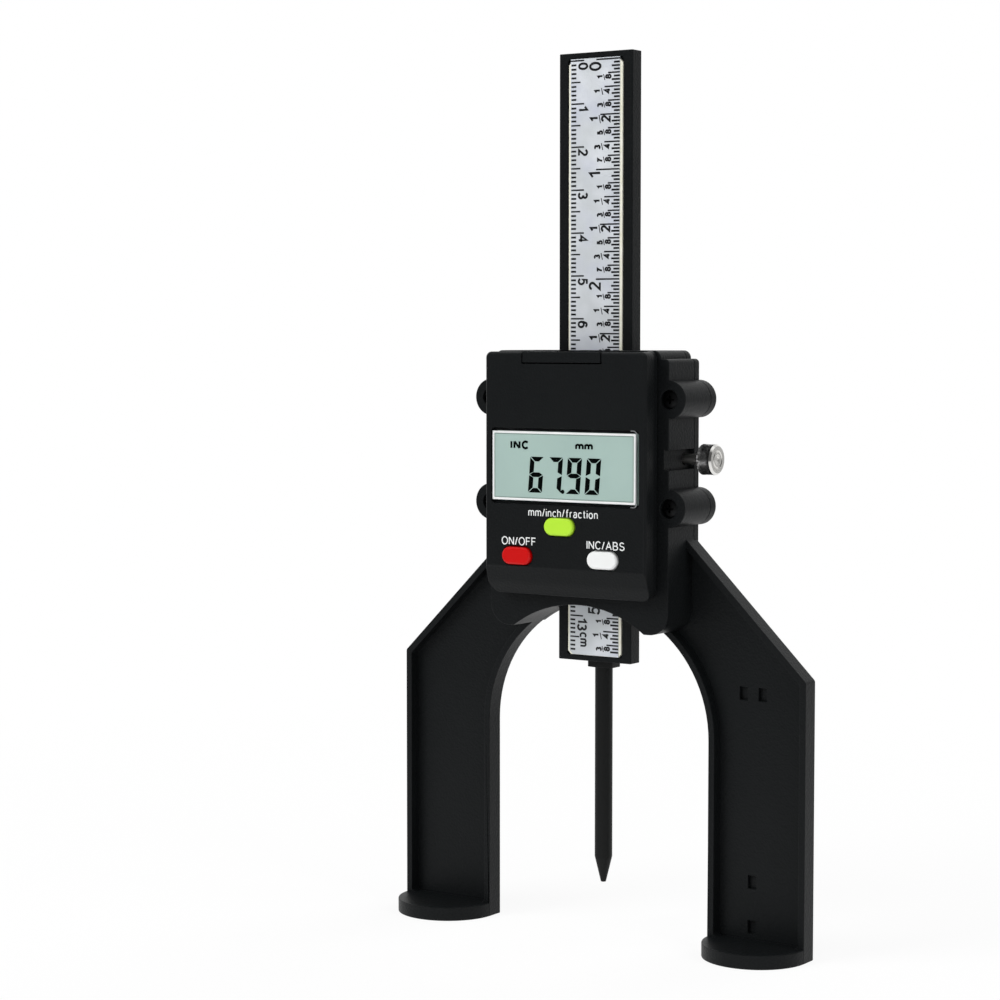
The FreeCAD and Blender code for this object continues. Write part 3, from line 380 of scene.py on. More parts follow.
# Cast acrylic, polished: seen only by its highlights
CLEAR_LENS = ClearAcrylic("polished_clear_acrylic", "#0d0f0f", opacity=0.05, roughness=0.02)
# Reflective liquid crystal glass under a matt polariser: grey green and slightly uneven
LCD_GLASS = PatchedFilm(
    "reflective_lcd_polariser", "#a9c1ba", "#afc7c0", "#a3bbb5", patch_size=14.0, speckle=0.3, roughness=0.3
)
# Painted highlight: a pale grey line drawn on the lens's front where its right edge catches the light
LENS_EDGE_HIGHLIGHT = PatchedFilm(
    "painted_lens_edge_highlight", "#8d9091", "#9a9d9e", "#7c7f80", patch_size=3.0, speckle=0.2, roughness=0.5
)
# Switched segments: green black, sealed under the polariser and so with hardly a sheen of their own
LCD_INK = PatchedFilm(
    "switched_liquid_crystal", "#030605", "#060a09", "#020403", patch_size=4.0, speckle=0.2, roughness=0.35,
    specular=0.05,
)
# White printed border round the glass
GLASS_BORDER = PatchedFilm(
    "white_glass_border_ink", "#f6f7f7", "#ebeeee", "#e3e8e7", patch_size=6.0, speckle=0.2, roughness=0.4
)
# The shade that the border's step throws on the polariser
BORDER_SHADE = PatchedFilm(
    "shaded_polariser_edge", "#84978f", "#8b9e97", "#7c8e87", patch_size=5.0, speckle=0.2, roughness=0.45
)
# White pad-printed legend on the housing
LEGEND_INK = PatchedFilm(
    "white_pad_printing_ink", "#eceeee", "#e2e5e5", "#dadedd", patch_size=2.5, speckle=0.15, roughness=0.5
)
# Black printing on the scale's film
SCALE_INK = PatchedFilm(
    "black_screen_printing_ink", "#0e0f11", "#16171a", "#0c0d0e", patch_size=3.0, speckle=0.2, roughness=0.45
)
# Brushed aluminium foil under a clear skin: silver, drifting to lavender and grey
SCALE_FOIL = PatchedFilm(
    "silver_polyester_label_film", "#ced2d7", "#b8bdcb", "#bec3c6", patch_size=9.0, speckle=0.25,
    roughness=0.38, strength=0.9,
)
# Bare glass-epoxy laminate: pale cream, a little translucent at its edge
SCALE_LAMINATE = PatchedFilm(
    "bare_glass_epoxy_laminate", "#e2e1d2", "#d6d4b8", "#e9e8de", patch_size=2.0, speckle=0.3, roughness=0.5
)
# The same laminate under green solder mask
SOLDER_MASK = PatchedFilm(
    "green_solder_mask", "#1d5b3a", "#236a45", "#184d31", patch_size=5.0, speckle=0.3, roughness=0.3
)
# Where the thumb screw's axis crosses the gauge's middle, in millimetres
SCREW_AXIS = (0.0, 5.7, 113.4)
# Knob's face and shank: bright nickel over the rings of fine turning
NICKEL_TURNED = WorkedMetal(
    "nickel_plated_turned_steel", "#f8f7f3", "#eceae6", 0.28, 0.5, 0.03, Working.TURNED, SCREW_AXIS
)
# Its rim, polished bright by handling
NICKEL_POLISHED = WorkedMetal("nickel_plated_polished_rim", "#fbfaf7", "#f2f1ee", 0.14, 1.0, 0.005)
# Its knurl: the same nickel, painted as a fine speckle of bright glints and dark shade where light breaks on
# its cuts
NICKEL_KNURLED = WorkedMetal("nickel_knurl_painted_glints", "#ffffff", "#0c0c0c", 0.3, 0.25, 0.05, stain_size=0.5)
# Turned brass, left bare: yellow with fine rings
BRASS = WorkedMetal("turned_brass", "#c8a75c", "#b8954c", 0.3, 0.3, 0.01, Working.TURNED, SCREW_AXIS)
# Nickel over pressed or rolled parts: smooth and grey white, with a slow ripple
MAGNET_NICKEL = WorkedMetal("nickel_plated_magnet", "#c7c8c9", "#b4b6b8", 0.22, 1.5)
CELL_STEEL = WorkedMetal("nickel_plated_cell_steel", "#cfd0d0", "#c2c3c4", 0.28, 2.0)
# Rolled strip and pins: bronze brown, stainless grey and dull tin
SPRING_BRONZE = WorkedMetal("phosphor_bronze_strip", "#c39a63", "#ad8350", 0.3, 0.8)
DOME_STEEL = WorkedMetal("stainless_snap_dome", "#cdcdcb", "#bfbfbe", 0.25, 0.8)
PIN_TIN = WorkedMetal("tinned_header_pins", "#c9cac9", "#b5b6b5", 0.35, 0.4)
# Black oxide screws: dark, oily and almost colourless
BLACK_OXIDE = WorkedMetal("black_oxide_steel", "#38393a", "#2a2b2c", 0.45, 0.6)


# Building pieces


def make_piece(
    name: str,
    bm: BMesh,
    body: str,
    finish: Finish,
    stands_for: tuple[str, ...] = (),
    crease: float = 35.0,
) -> bpy.types.Object:
    """Turns a finished bmesh into a piece that rides on a body.

    Args:
        name: The piece's name.
        bm: Its mesh, in place and in metres; it is freed.
        body: The body that carries it.
        finish: What it is made of.
        stands_for: The nodes that it replaces.
        crease: The angle in degrees past which an edge stays sharp.

    Returns:
        The new object.
    """
    mesh = bpy.data.meshes.new(name)
    bm.to_mesh(mesh)
    bm.free()
    mesh.materials.append(finish.material())
    mesh.shade_smooth()
    mesh.set_sharp_from_angle(angle=math.radians(crease))
    thing = bpy.data.objects.new(name, mesh)
    bpy.context.scene.collection.objects.link(thing)
    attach(thing, body)
    if stands_for:
        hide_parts(*stands_for)
    log.info("%s: %d faces on %s, %s", name, len(mesh.polygons), body, finish.name)
    return thing


def softened(node: bpy.types.Object, radius: float, angle: float = 40.0) -> BMesh:
    """A copy of a solid's mesh with its sharp outer edges broken, as a mould leaves them.

    Args:
        node: The solid's object.
        radius: The width of the broken edge, in millimetres.
        angle: The angle in degrees past which an edge counts as sharp.

    Returns:
        The softened mesh, in place.
    """
    bm = bmesh.new()
    bm.from_mesh(node.data)
    bmesh.ops.remove_doubles(bm, verts=bm.verts, dist=WELD * MM)
    bmesh.ops.dissolve_limit(bm, angle_limit=FLAT_ANGLE, verts=bm.verts, edges=bm.edges)
    cut_edges(bm, [e for e in bm.edges if is_sharp(e, angle)], radius, steps=2)
    return bm


def cut_edges(bm: BMesh, edges: list[BMEdge], width: float, steps: int) -> None:
    """Cuts edges back, in one flat or in steps that round them.

    Args:
        bm: The mesh.
        edges: The edges to cut.
        width: The width of the cut, in millimetres.
        steps: How many faces it has.
    """
    bmesh.ops.bevel(
        bm, geom=edges, offset=width * MM, affect="EDGES", segments=steps, profile=0.5, material=-1
    )


def is_sharp(edge: BMEdge, angle: float) -> bool:
    """Whether an edge stands out and turns by more than an angle in degrees."""
    return edge.is_manifold and edge.is_convex and edge.calc_face_angle() > math.radians(angle)


def block(bm: BMesh, low: tuple, high: tuple) -> None:
    """Adds a box between two corners in millimetres.

    Args:
        bm: The mesh that it goes in.
        low: Its lowest corner.
        high: Its highest corner.
    """
    low, high = Vector(low), Vector(high)
    place = Matrix.Translation((low + high) / 2 * MM) @ Matrix.Diagonal((*((high - low) * MM), 1.0))
    bmesh.ops.create_cube(bm, size=1.0, matrix=place)


class Reading(Enum):
    """Which way a line of print reads: its direction and the way its letters stand, seen from the front."""

    ACROSS = (Vector((1, 0, 0)), Vector((0, 0, 1)))
    DOWN = (Vector((0, 0, -1)), Vector((1, 0, 0)))
    UP = (Vector((0, 0, 1)), Vector((-1, 0, 0)))


@dataclass(frozen=True)
class Arc:
    """An oval, or the part of it from one angle to another in degrees."""

    x: float
    z: float
    across: float
    up: float
    start: float = 0.0
    end: float = 360.0

    def points(self) -> list[tuple[float, float]]:
        """Walks along the arc.

        Returns:
            Places on it, close enough together to look round.
        """
        count = max(2, round(abs(self.end - self.start) / ARC_STEP))
        angles = [math.radians(self.start + (self.end - self.start) * i / count) for i in range(count + 1)]
        return [(self.x + self.across * math.cos(a), self.z + self.up * math.sin(a)) for a in angles]


# Letters as pen strokes: a capital is one unit high, and each stroke is a run of points and arcs
ARCH = Arc(0.2, 0.48, 0.2, 0.22, 180, 0)
STROKES: dict[str, tuple[tuple, ...]] = {
    "0": ((Arc(0.25, 0.5, 0.25, 0.5),),),
    "1": (((0.0, 0.72), (0.29, 1.0), (0.29, 0.0)),),
    "2": ((Arc(0.24, 0.73, 0.23, 0.27, 165, -25), (0.0, 0.0), (0.5, 0.0)),),
    "3": ((Arc(0.23, 0.76, 0.22, 0.24, 150, -90), Arc(0.23, 0.26, 0.25, 0.26, 90, -155)),),
    "4": (((0.38, 0.0), (0.38, 1.0), (0.0, 0.3), (0.54, 0.3)),),
    "5": (((0.46, 1.0), (0.1, 1.0), (0.04, 0.5), Arc(0.23, 0.33, 0.26, 0.33, 128, -152)),),
    "6": ((Arc(0.25, 0.32, 0.25, 0.32),),
          (Arc(0.27, 0.7, 0.22, 0.3, 30, 130), (0.01, 0.6), (0.0, 0.32))),
    "7": (((0.0, 1.0), (0.5, 1.0), (0.24, 0.5), (0.16, 0.0)),),
    "8": ((Arc(0.25, 0.76, 0.21, 0.24),), (Arc(0.25, 0.27, 0.25, 0.27),)),
    "9": ((Arc(0.25, 0.68, 0.25, 0.32),),
          (Arc(0.23, 0.3, 0.22, 0.3, 210, 310), (0.49, 0.4), (0.5, 0.68))),
    "A": (((0.0, 0.0), (0.33, 1.0), (0.66, 0.0)), ((0.12, 0.34), (0.54, 0.34))),
    "B": (((0.0, 0.0), (0.0, 1.0), Arc(0.3, 0.76, 0.2, 0.24, 90, -90), (0.0, 0.52)),
          (Arc(0.32, 0.26, 0.24, 0.26, 90, -90), (0.0, 0.0))),
    "C": ((Arc(0.34, 0.5, 0.34, 0.5, 42, 318),),),
    "F": (((0.0, 0.0), (0.0, 1.0), (0.52, 1.0)), ((0.0, 0.53), (0.45, 0.53))),
    "I": (((0.0, 0.0), (0.0, 1.0)),),
    "N": (((0.0, 0.0), (0.0, 1.0)), ((0.02, 0.97), (0.58, 0.03)), ((0.6, 0.0), (0.6, 1.0))),
    "O": ((Arc(0.38, 0.5, 0.38, 0.5),),),
    "S": ((Arc(0.3, 0.75, 0.25, 0.25, 25, 270), Arc(0.3, 0.25, 0.28, 0.25, 90, -160)),),
    "a": ((Arc(0.21, 0.52, 0.19, 0.18, 160, 0), (0.4, 0.0)), (Arc(0.19, 0.2, 0.19, 0.2, 60, 330),)),
    "c": ((Arc(0.24, 0.35, 0.24, 0.35, 45, 315),),),
    "f": (((0.3, 1.0), Arc(0.22, 0.88, 0.1, 0.12, 90, 180), (0.12, 0.0)), ((0.0, 0.7), (0.26, 0.7))),
    "h": (((0.0, 0.0), (0.0, 1.0)), (ARCH, (0.4, 0.0))),
    "i": (((0.0, 0.0), (0.0, 0.7)), ((0.0, 0.9), (0.0, 1.0))),
    "m": (((0.0, 0.0), (0.0, 0.7)), (Arc(0.18, 0.48, 0.18, 0.22, 180, 0), (0.36, 0.0)),
          (Arc(0.54, 0.48, 0.18, 0.22, 180, 0), (0.72, 0.0))),
    "n": (((0.0, 0.0), (0.0, 0.7)), (ARCH, (0.4, 0.0))),
    "o": ((Arc(0.24, 0.35, 0.24, 0.35),),),
    "r": (((0.0, 0.0), (0.0, 0.7)), (Arc(0.2, 0.46, 0.2, 0.24, 180, 80),)),
    "t": (((0.12, 0.95), (0.12, 0.12), (0.27, 0.0)), ((0.0, 0.7), (0.26, 0.7))),
    "/": (((0.0, 0.0), (0.26, 1.0)),),
}
# The least share of a stroke's width that a mitre may take, so that sharp turns don't spike
MITRE_LIMIT = 0.5
# How much broader than drawn the letters are set where no width is given
ROOMY = 1.12


@dataclass(frozen=True)
class Legend:
    """A printed word: the corner at its foot and start, or at its foot and end, and how it is lettered.

    The height and the width are those of the ink. Without a width the letters keep their own shape. The gap
    between letters is a share of a capital's height.
    """

    text: str
    corner: tuple[float, float]
    height: float
    pen: float
    width: float | None = None
    reading: Reading = Reading.ACROSS
    align_end: bool = False
    gap: float = 0.26


KEY_LEGENDS = (
    Legend("mm/inch/fraction", (-9.69, 99.8), 1.95, 0.23, 18.98),
    Legend("ON/OFF", (-17.15, 92.85), 1.98, 0.25, 9.6),
    Legend("INC/ABS", (6.3, 92.85), 1.95, 0.25, 10.16),
)
DISPLAY_SIGNS = (
    Legend("INC", (-14.97, 115.27), 2.11, 0.54, 5.1, gap=0.36),
    Legend("mm", (2.9, 115.46), 1.9, 0.52, 4.8),
)


@dataclass(frozen=True)
class Figure:
    """A number by a tick: how far its foot is from the film's edge and below the tick, its height and pen."""

    foot: float
    drop: float
    height: float
    pen: float


CENTIMETRE_FIGURE = Figure(2.05, 0.45, 2.75, 0.52)
CENTIMETRE_SIGN = Figure(2.75, 0.3, 2.6, 0.46)
INCH_FIGURE = Figure(5.0, 0.5, 3.35, 0.56)
# Length of a tick, by the number of thirty-seconds that its place is a whole multiple of
INCH_TICKS = {32: 6.4, 16: 5.3, 8: 4.15, 4: 3.2, 2: 2.2, 1: 1.6}
# Numerator and denominator, by the denominator
FRACTION_FIGURES = {
    8: (Figure(4.5, 0.5, 1.65, 0.44), Figure(2.25, 0.28, 1.75, 0.44)),
    4: (Figure(5.2, 0.6, 1.75, 0.46), Figure(2.45, 0.3, 1.95, 0.46)),
    2: (Figure(5.75, 0.5, 2.35, 0.54), Figure(2.45, 0.12, 2.65, 0.54)),
}


class Print:
    """Thin ink on a face that looks forward: words, numbers and lines gathered into one mesh."""

    def __init__(self, face: float) -> None:
        """Starts an empty print on the face at this depth along Y, in millimetres."""
        self.face = face
        self.bm = bmesh.new()

    def outline(self, corners: list[tuple[float, float]], lift: float = 0.0) -> None:
        """Prints a filled outline whose corners are given as X and Z, proud of the rest by a lift."""
        y = self.face - PRINT_DEPTH - lift
        self.bm.faces.new([self.bm.verts.new((x * MM, y * MM, z * MM)) for x, z in corners])

    def line(self, x: tuple[float, float], z: tuple[float, float]) -> None:
        """Prints a bar between two pairs of places."""
        self.outline([(x[0], z[0]), (x[1], z[0]), (x[1], z[1]), (x[0], z[1])])

    def frame(self, x: tuple[float, float], z: tuple[float, float], width: float, radius: float) -> None:
        """Prints a rectangular frame whose corners are rounded.

        Args:
            x: Its outer places across.
            z: Its outer heights.
            width: The width of its line.
            radius: Its outer corner radius.
        """
        rings = []
        for inset in (0.0, width):
            left, right, low, high = x[0] + inset, x[1] - inset, z[0] + inset, z[1] - inset
            r = max(radius - inset, 0.01)
            spots = []
            for cx, cz, turn in (
                (right - r, high - r, 0),
                (left + r, high - r, 90),
                (left + r, low + r, 180),
                (right - r, low + r, 270),
            ):
                spots += Arc(cx, cz, r, r, turn, turn + 90).points()
            rings.append(spots)
        outer, inner = rings
        for i in range(len(outer)):
            self.outline([outer[i - 1], outer[i], inner[i], inner[i - 1]])

    def stroke(self, points: list[Vector], pen: float, lift: float) -> None:
        """Draws a line of even width through points, mitred where it turns.

        Args:
            points: Where it goes, as X and Z; it closes where the last is the first.
            pen: Its width.
            lift: How far it stands proud of the strokes under it.
        """
        closed = (points[0] - points[-1]).length < PRINT_WELD
        sides = []
        for i, here in enumerate(points):
            before = points[i - 1] if i else (points[-2] if closed else here)
            after = points[i + 1] if i + 1 < len(points) else (points[1] if closed else here)
            come, go = (here - before), (after - here)
            come = (come if come.length else go).normalized()
            go = (go if go.length else come).normalized()
            normal = Vector((-(come.y + go.y), come.x + go.x)).normalized()
            reach = pen / 2 / max(MITRE_LIMIT, normal.dot(Vector((-come.y, come.x))))
            sides.append((here + normal * reach, here - normal * reach))
        for (a, b), (c, d) in zip(sides, sides[1:]):
            self.outline([tuple(a), tuple(b), tuple(d), tuple(c)], lift)

    def word(self, legend: Legend) -> float:
        """Letters a word with a pen of even width.

        Args:
            legend: What it says, where and how.

        Returns:
            The ink's width.
        """
        runs, place = [], 0.0
        for letter in legend.text:
            traced = []
            for path in STROKES[letter]:
                run = []
                for item in path:
                    run += item.points() if isinstance(item, Arc) else [item]
                traced.append(run)
            runs += [[(place + x, z) for x, z in run] for run in traced]
            place += max(x for run in traced for x, _ in run) + legend.gap
        units = place - legend.gap
        pen, tall = legend.pen, legend.height - legend.pen
        wide = tall * ROOMY if legend.width is None else (legend.width - pen) / units
        ink = units * wide + pen
        along, up = (Vector((axis.x, axis.z)) for axis in legend.reading.value)
        start = Vector(legend.corner) + (along + up) * (pen / 2) - along * (ink if legend.align_end else 0.0)
        for number, run in enumerate(runs):
            points = [start + along * (x * wide) + up * (z * tall) for x, z in run]
            self.stroke(points, pen, STROKE_LIFT * (number % 3))
        return ink

    def piece(self, name: str, body: str, finish: Finish) -> bpy.types.Object:
        """Gives the print its thickness and hands it over.

        Args:
            name: The piece's name.
            body: The body that carries it.
            finish: The ink.

        Returns:
            The new piece.
        """
        bmesh.ops.remove_doubles(self.bm, verts=self.bm.verts, dist=PRINT_WELD * MM)
        grown = bmesh.ops.extrude_face_region(self.bm, geom=self.bm.faces[:])
        moved = [g for g in grown["geom"] if isinstance(g, BMVert)]
        bmesh.ops.translate(self.bm, vec=(0, PRINT_DEPTH * MM, 0), verts=moved)
        bmesh.ops.recalc_face_normals(self.bm, faces=self.bm.faces)
        return make_piece(name, self.bm, body, finish, crease=20.0)


# Sub-assemblies


@dataclass
class SubAssembly:
    """A part of the gauge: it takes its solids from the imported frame."""

    frame: dict[str, Any]

    def node(self, name: str) -> bpy.types.Object:
        """The solid of that name."""
        return self.frame["nodes"][name]

    def body_of(self, name: str) -> str:
        """The body that carries a solid."""
        return self.node(name)["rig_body"]

    def soften(self, name: str, radius: float, finish: Finish) -> bpy.types.Object:
        """Replaces a solid by a copy of it with broken edges.

        Args:
            name: The solid's name.
            radius: The width of the broken edge, in millimetres.
            finish: What it is made of.

        Returns:
            The new piece.
        """
        bm = softened(self.node(name), radius)
        body = self.body_of(name)
        piece = make_piece(f"{name}_moulding", bm, body, finish, stands_for=(name,), crease=SOFT_CREASE)
        weighted = piece.modifiers.new("face_weighted_normals", "WEIGHTED_NORMAL")
        weighted.keep_sharp = True
        weighted.weight = FACE_WEIGHT
        return piece

    def coat(self, finishes: dict[str, Finish]) -> None:
        """Gives solids that keep their own shape their finishes.

        Args:
            finishes: A finish for each solid's name.
        """
        for name, finish in finishes.items():
            mesh = self.node(name).data
            mesh.materials.clear()
            mesh.materials.append(finish.material())
            log.info("%s: %s", name, finish.name)


@dataclass
class Stand(SubAssembly):
    """Bridge stand: the black moulding with its legs, its rear cover, magnets, screws and spring."""

    edge: float = 0.18
    head_radius: float = 2.0
    head_height: float = 1.3
    head_front: float = -3.3
    drive_half: float = 1.05
    drive_slot: float = 0.26
    drive_depth: float = 0.9
    drive_taper: float = 0.8
    crown: float = 0.3
    shank_radius: float = 1.25
    shank_end: float = 9.8
    boss_side: float = 24.35
    boss_heights: tuple[float, float] = (102.4, 127.2)

    def build(self) -> None:
        """Softens the mouldings, makes the case screws and coats the rest."""
        self.soften("stand_frame", self.edge, BLACK_ABS)
        self.soften("rear_cover", self.edge, BLACK_ABS)
        self.case_screws()
        self.coat(
            {
                "left_magnet": MAGNET_NICKEL,
                "right_magnet": MAGNET_NICKEL,
                "cover_screws": BLACK_OXIDE,
                "beam_spring": SPRING_BRONZE,
                "lock_nut": BRASS,
            }
        )

    def case_screws(self) -> None:
        """Four pan-head screws with a cross recess, one in each boss."""
        bm = bmesh.new()
        for side in (-1, 1):
            for height in self.boss_heights:
                self.case_screw(bm, side * self.boss_side, height)
        stands_for = ("case_screws",)
        make_piece("case_screw_set", bm, "stand", BLACK_OXIDE, stands_for, crease=30.0)

    def case_screw(self, bm: BMesh, x: float, z: float) -> None:
        """Adds one screw: a grid drawn out to a round head, its cross sunk, its shank behind.

        Args:
            bm: The mesh that it goes in.
            x: The screw's place across.
            z: The screw's height.
        """
        one = bmesh.new()
        lines = (self.head_radius, self.drive_half, self.drive_slot)
        steps = 2 * len(lines) - 1
        bmesh.ops.create_grid(one, x_segments=steps, y_segments=steps, size=1.0)
        for vert in one.verts:
            ring = [lines[round((1.0 - abs(c)) * steps / 2)] * math.copysign(1, c) for c in vert.co[:2]]
            flat = Vector((ring[0], ring[1], 0.0))
            if max(abs(c) for c in ring) == self.head_radius:
                flat = flat.normalized() * self.head_radius
            vert.co = flat
        cross = [f for f in one.faces if self.in_cross(f.calc_center_median())]
        sunk = bmesh.ops.extrude_face_region(one, geom=cross)
        floor = [g for g in sunk["geom"] if isinstance(g, BMVert)]
        bmesh.ops.delete(one, geom=cross, context="FACES")
        bmesh.ops.scale(one, vec=(self.drive_taper, self.drive_taper, 1.0), verts=floor)
        bmesh.ops.translate(one, vec=(0, 0, -self.drive_depth), verts=floor)
        rim = [e for e in one.edges if e.is_boundary]
        for vert in {v for e in rim for v in e.verts}:
            vert.co.z -= self.crown
        for radius, depth in (
            (self.head_radius, self.head_height - self.crown),
            (self.shank_radius, 0.0),
            (self.shank_radius, self.shank_end - self.head_front - self.head_height),
        ):
            grown = bmesh.ops.extrude_edge_only(one, edges=rim)
            verts = [g for g in grown["geom"] if isinstance(g, BMVert)]
            rim = [g for g in grown["geom"] if isinstance(g, BMEdge)]
            for vert in verts:
                flat = vert.co.to_2d().normalized() * radius
                vert.co = Vector((flat.x, flat.y, vert.co.z - depth))
        bmesh.ops.contextual_create(one, geom=rim)
        bmesh.ops.recalc_face_normals(one, faces=one.faces)
        place = Matrix.Translation(Vector((x, self.head_front, z)) * MM)
        turned = Matrix.Rotation(math.pi / 2, 4, "X") @ Matrix.Scale(MM, 4)
        bmesh.ops.transform(one, matrix=place @ turned, verts=one.verts)
        mesh = bpy.data.meshes.new("one_screw")
        one.to_mesh(mesh)
        one.free()
        bm.from_mesh(mesh)
        bpy.data.meshes.remove(mesh)

    def in_cross(self, middle: Vector) -> bool:
        """Whether a point of the head's face lies in the cross recess."""
        near, far = sorted((abs(middle.x), abs(middle.y)))
        return near < self.drive_slot and far < self.drive_half


@dataclass
class Readout(SubAssembly):
    """Front cover with its display, keys, legends, boards and battery drawer."""

    edge: float = 0.15
    tray_edge: float = 0.12
    key_edge: float = 0.08
    border: float = 0.5
    border_corner: float = 0.3
    shade: float = 0.25
    # Width, right edge, heights and corner radius of the painted highlight along the lens's right edge
    lens_edge: float = 0.22
    edge_right: float = 19.55
    edge_z: tuple[float, float] = (102.8, 120.15)
    edge_corner: float = 0.8
    sheet_depth: float = 0.42
    border_x: tuple[float, float] = (-19.98, 19.08)
    border_z: tuple[float, float] = (103.4, 119.5)
    point: tuple[float, float] = (-0.5, 105.75)
    point_radius: float = 0.5
    shown: str = "6790"
    digit_lefts: tuple[float, ...] = (-10.06, -4.9, 0.27, 5.44)
    digit_foot: float = 105.3
    digit_height: float = 8.35
    digit_width: float = 3.85
    stroke_up: float = 1.22
    stroke_across: float = 1.08
    stroke_gap: float = 0.14
    slant: float = 0.08
    bar_taper: float = 0.8

    def build(self) -> None:
        """Softens the mouldings, prints the display and the legends and coats the rest."""
        self.soften("readout_housing", self.edge, BLACK_ABS)
        self.soften("battery_tray", self.tray_edge, BLACK_ABS)
        for name, finish in (
            ("on_off_button", RED_KEY),
            ("unit_button", GREEN_KEY),
            ("mode_button", WHITE_KEY),
        ):
            self.soften(name, self.key_edge, finish)
        self.display()
        self.legends()
        self.coat(
            {
                "display_window": CLEAR_LENS,
                "lcd_panel": LCD_GLASS,
                "lcd_connector": CONDUCTIVE_RUBBER,
                "main_board": SOLDER_MASK,
                "sensor_board": SOLDER_MASK,
                "board_header": PIN_TIN,
                "controller_chip": CHIP_EPOXY,
                "button_switches": DOME_STEEL,
                "battery_contacts": SPRING_BRONZE,
                "coin_cell": CELL_STEEL,
            }
        )

    def display(self) -> None:
        """The white border, the shade inside it, the reading and its signs, and a painted highlight along the
        lens's right edge.
        """
        low, high = (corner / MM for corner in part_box("display_window"))
        sheet = Print(low.y + self.sheet_depth)
        sheet.line(self.border_x, self.border_z)
        sheet.piece("display_polariser", "stand", LCD_GLASS)
        top = low.y + self.sheet_depth - PRINT_DEPTH
        border = Print(top)
        border.frame(self.border_x, self.border_z, self.border, self.border_corner)
        border.piece("display_border", "stand", GLASS_BORDER)
        x = (self.border_x[0] + self.border, self.border_x[1] - self.border)
        z = (self.border_z[0] + self.border, self.border_z[1] - self.border)
        shade = Print(top)
        shade.frame(x, z, self.shade, self.border_corner)
        shade.piece("display_shade", "stand", BORDER_SHADE)
        reading = Print(top)
        for left, digit in zip(self.digit_lefts, self.shown):
            self.digit(reading, left, digit)
        # The point stops one step short of a full turn, so that its first corner isn't doubled
        reading.outline(Arc(*self.point, self.point_radius, self.point_radius, 0, 360 - ARC_STEP).points())
        for sign in DISPLAY_SIGNS:
            reading.word(sign)
        reading.piece("display_reading", "stand", LCD_INK)
        # Painted highlight: a pale line along the lens's right edge, drawn as a stroke on its front face
        edge = Print(low.y + PRINT_DEPTH)
        corner = self.edge_corner
        right, roof, foot = self.edge_right - corner, self.edge_z[1] - corner, self.edge_z[0] + corner
        run = [(right - corner, roof + corner), *Arc(right, roof, corner, corner, 90, 0).points()]
        run += [*Arc(right, foot, corner, corner, 0, -90).points(), (right - corner, foot - corner)]
        edge.stroke([Vector(spot) for spot in run], self.lens_edge, 0.0)
        edge.piece("lens_edge", "stand", LENS_EDGE_HIGHLIGHT)

    def digit(self, ink: Print, left: float, digit: str) -> None:
        """Prints one seven-segment digit, leaning to the right.

        Args:
            ink: The print that it goes in.
            left: Its left edge at the foot.
            digit: Which digit it is.
        """
        lit = {"6": "acdefg", "7": "abc", "9": "abcdfg", "0": "abcdef"}[digit]
        for name in lit:
            corners = self.segment(name)
            ink.outline([(left + x + self.slant * z, self.digit_foot + z) for x, z in corners])

    def segment(self, name: str) -> list[tuple[float, float]]:
        """Corners of one segment in an upright digit whose lower left corner is at zero.

        Args:
            name: The segment's letter, from a at the top, clockwise, to g in the middle.

        Returns:
            The corners as X and Z.
        """
        wide, tall = self.digit_width, self.digit_height
        up, across, gap = self.stroke_up, self.stroke_across, self.stroke_gap
        half, low = tall / 2, tall - across
        roof, foot = half + across / 2, half - across / 2
        if name == "g":
            near, far = up * self.bar_taper + gap, wide - up * self.bar_taper - gap
            return [(gap, half), (near, roof), (far, roof), (wide - gap, half), (far, foot), (near, foot)]
        if name in "ad":
            bar = [(gap, tall), (wide - gap, tall), (wide - up - gap, low), (up + gap, low)]
            return bar if name == "a" else [(x, tall - z) for x, z in bar]
        post = [(0.0, tall - gap), (up, low - gap), (up, roof + gap), (0.0, half + gap)]
        if name in "ce":
            post = [(x, tall - z) for x, z in post]
        if name in "bc":
            post = [(wide - x, z) for x, z in post]
        return post

    def legends(self) -> None:
        """White words on the cover's face: what each key does."""
        ink = Print(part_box("readout_housing")[0].y / MM)
        for legend in KEY_LEGENDS:
            ink.word(legend)
        ink.piece("key_legends", "stand", LEGEND_INK)


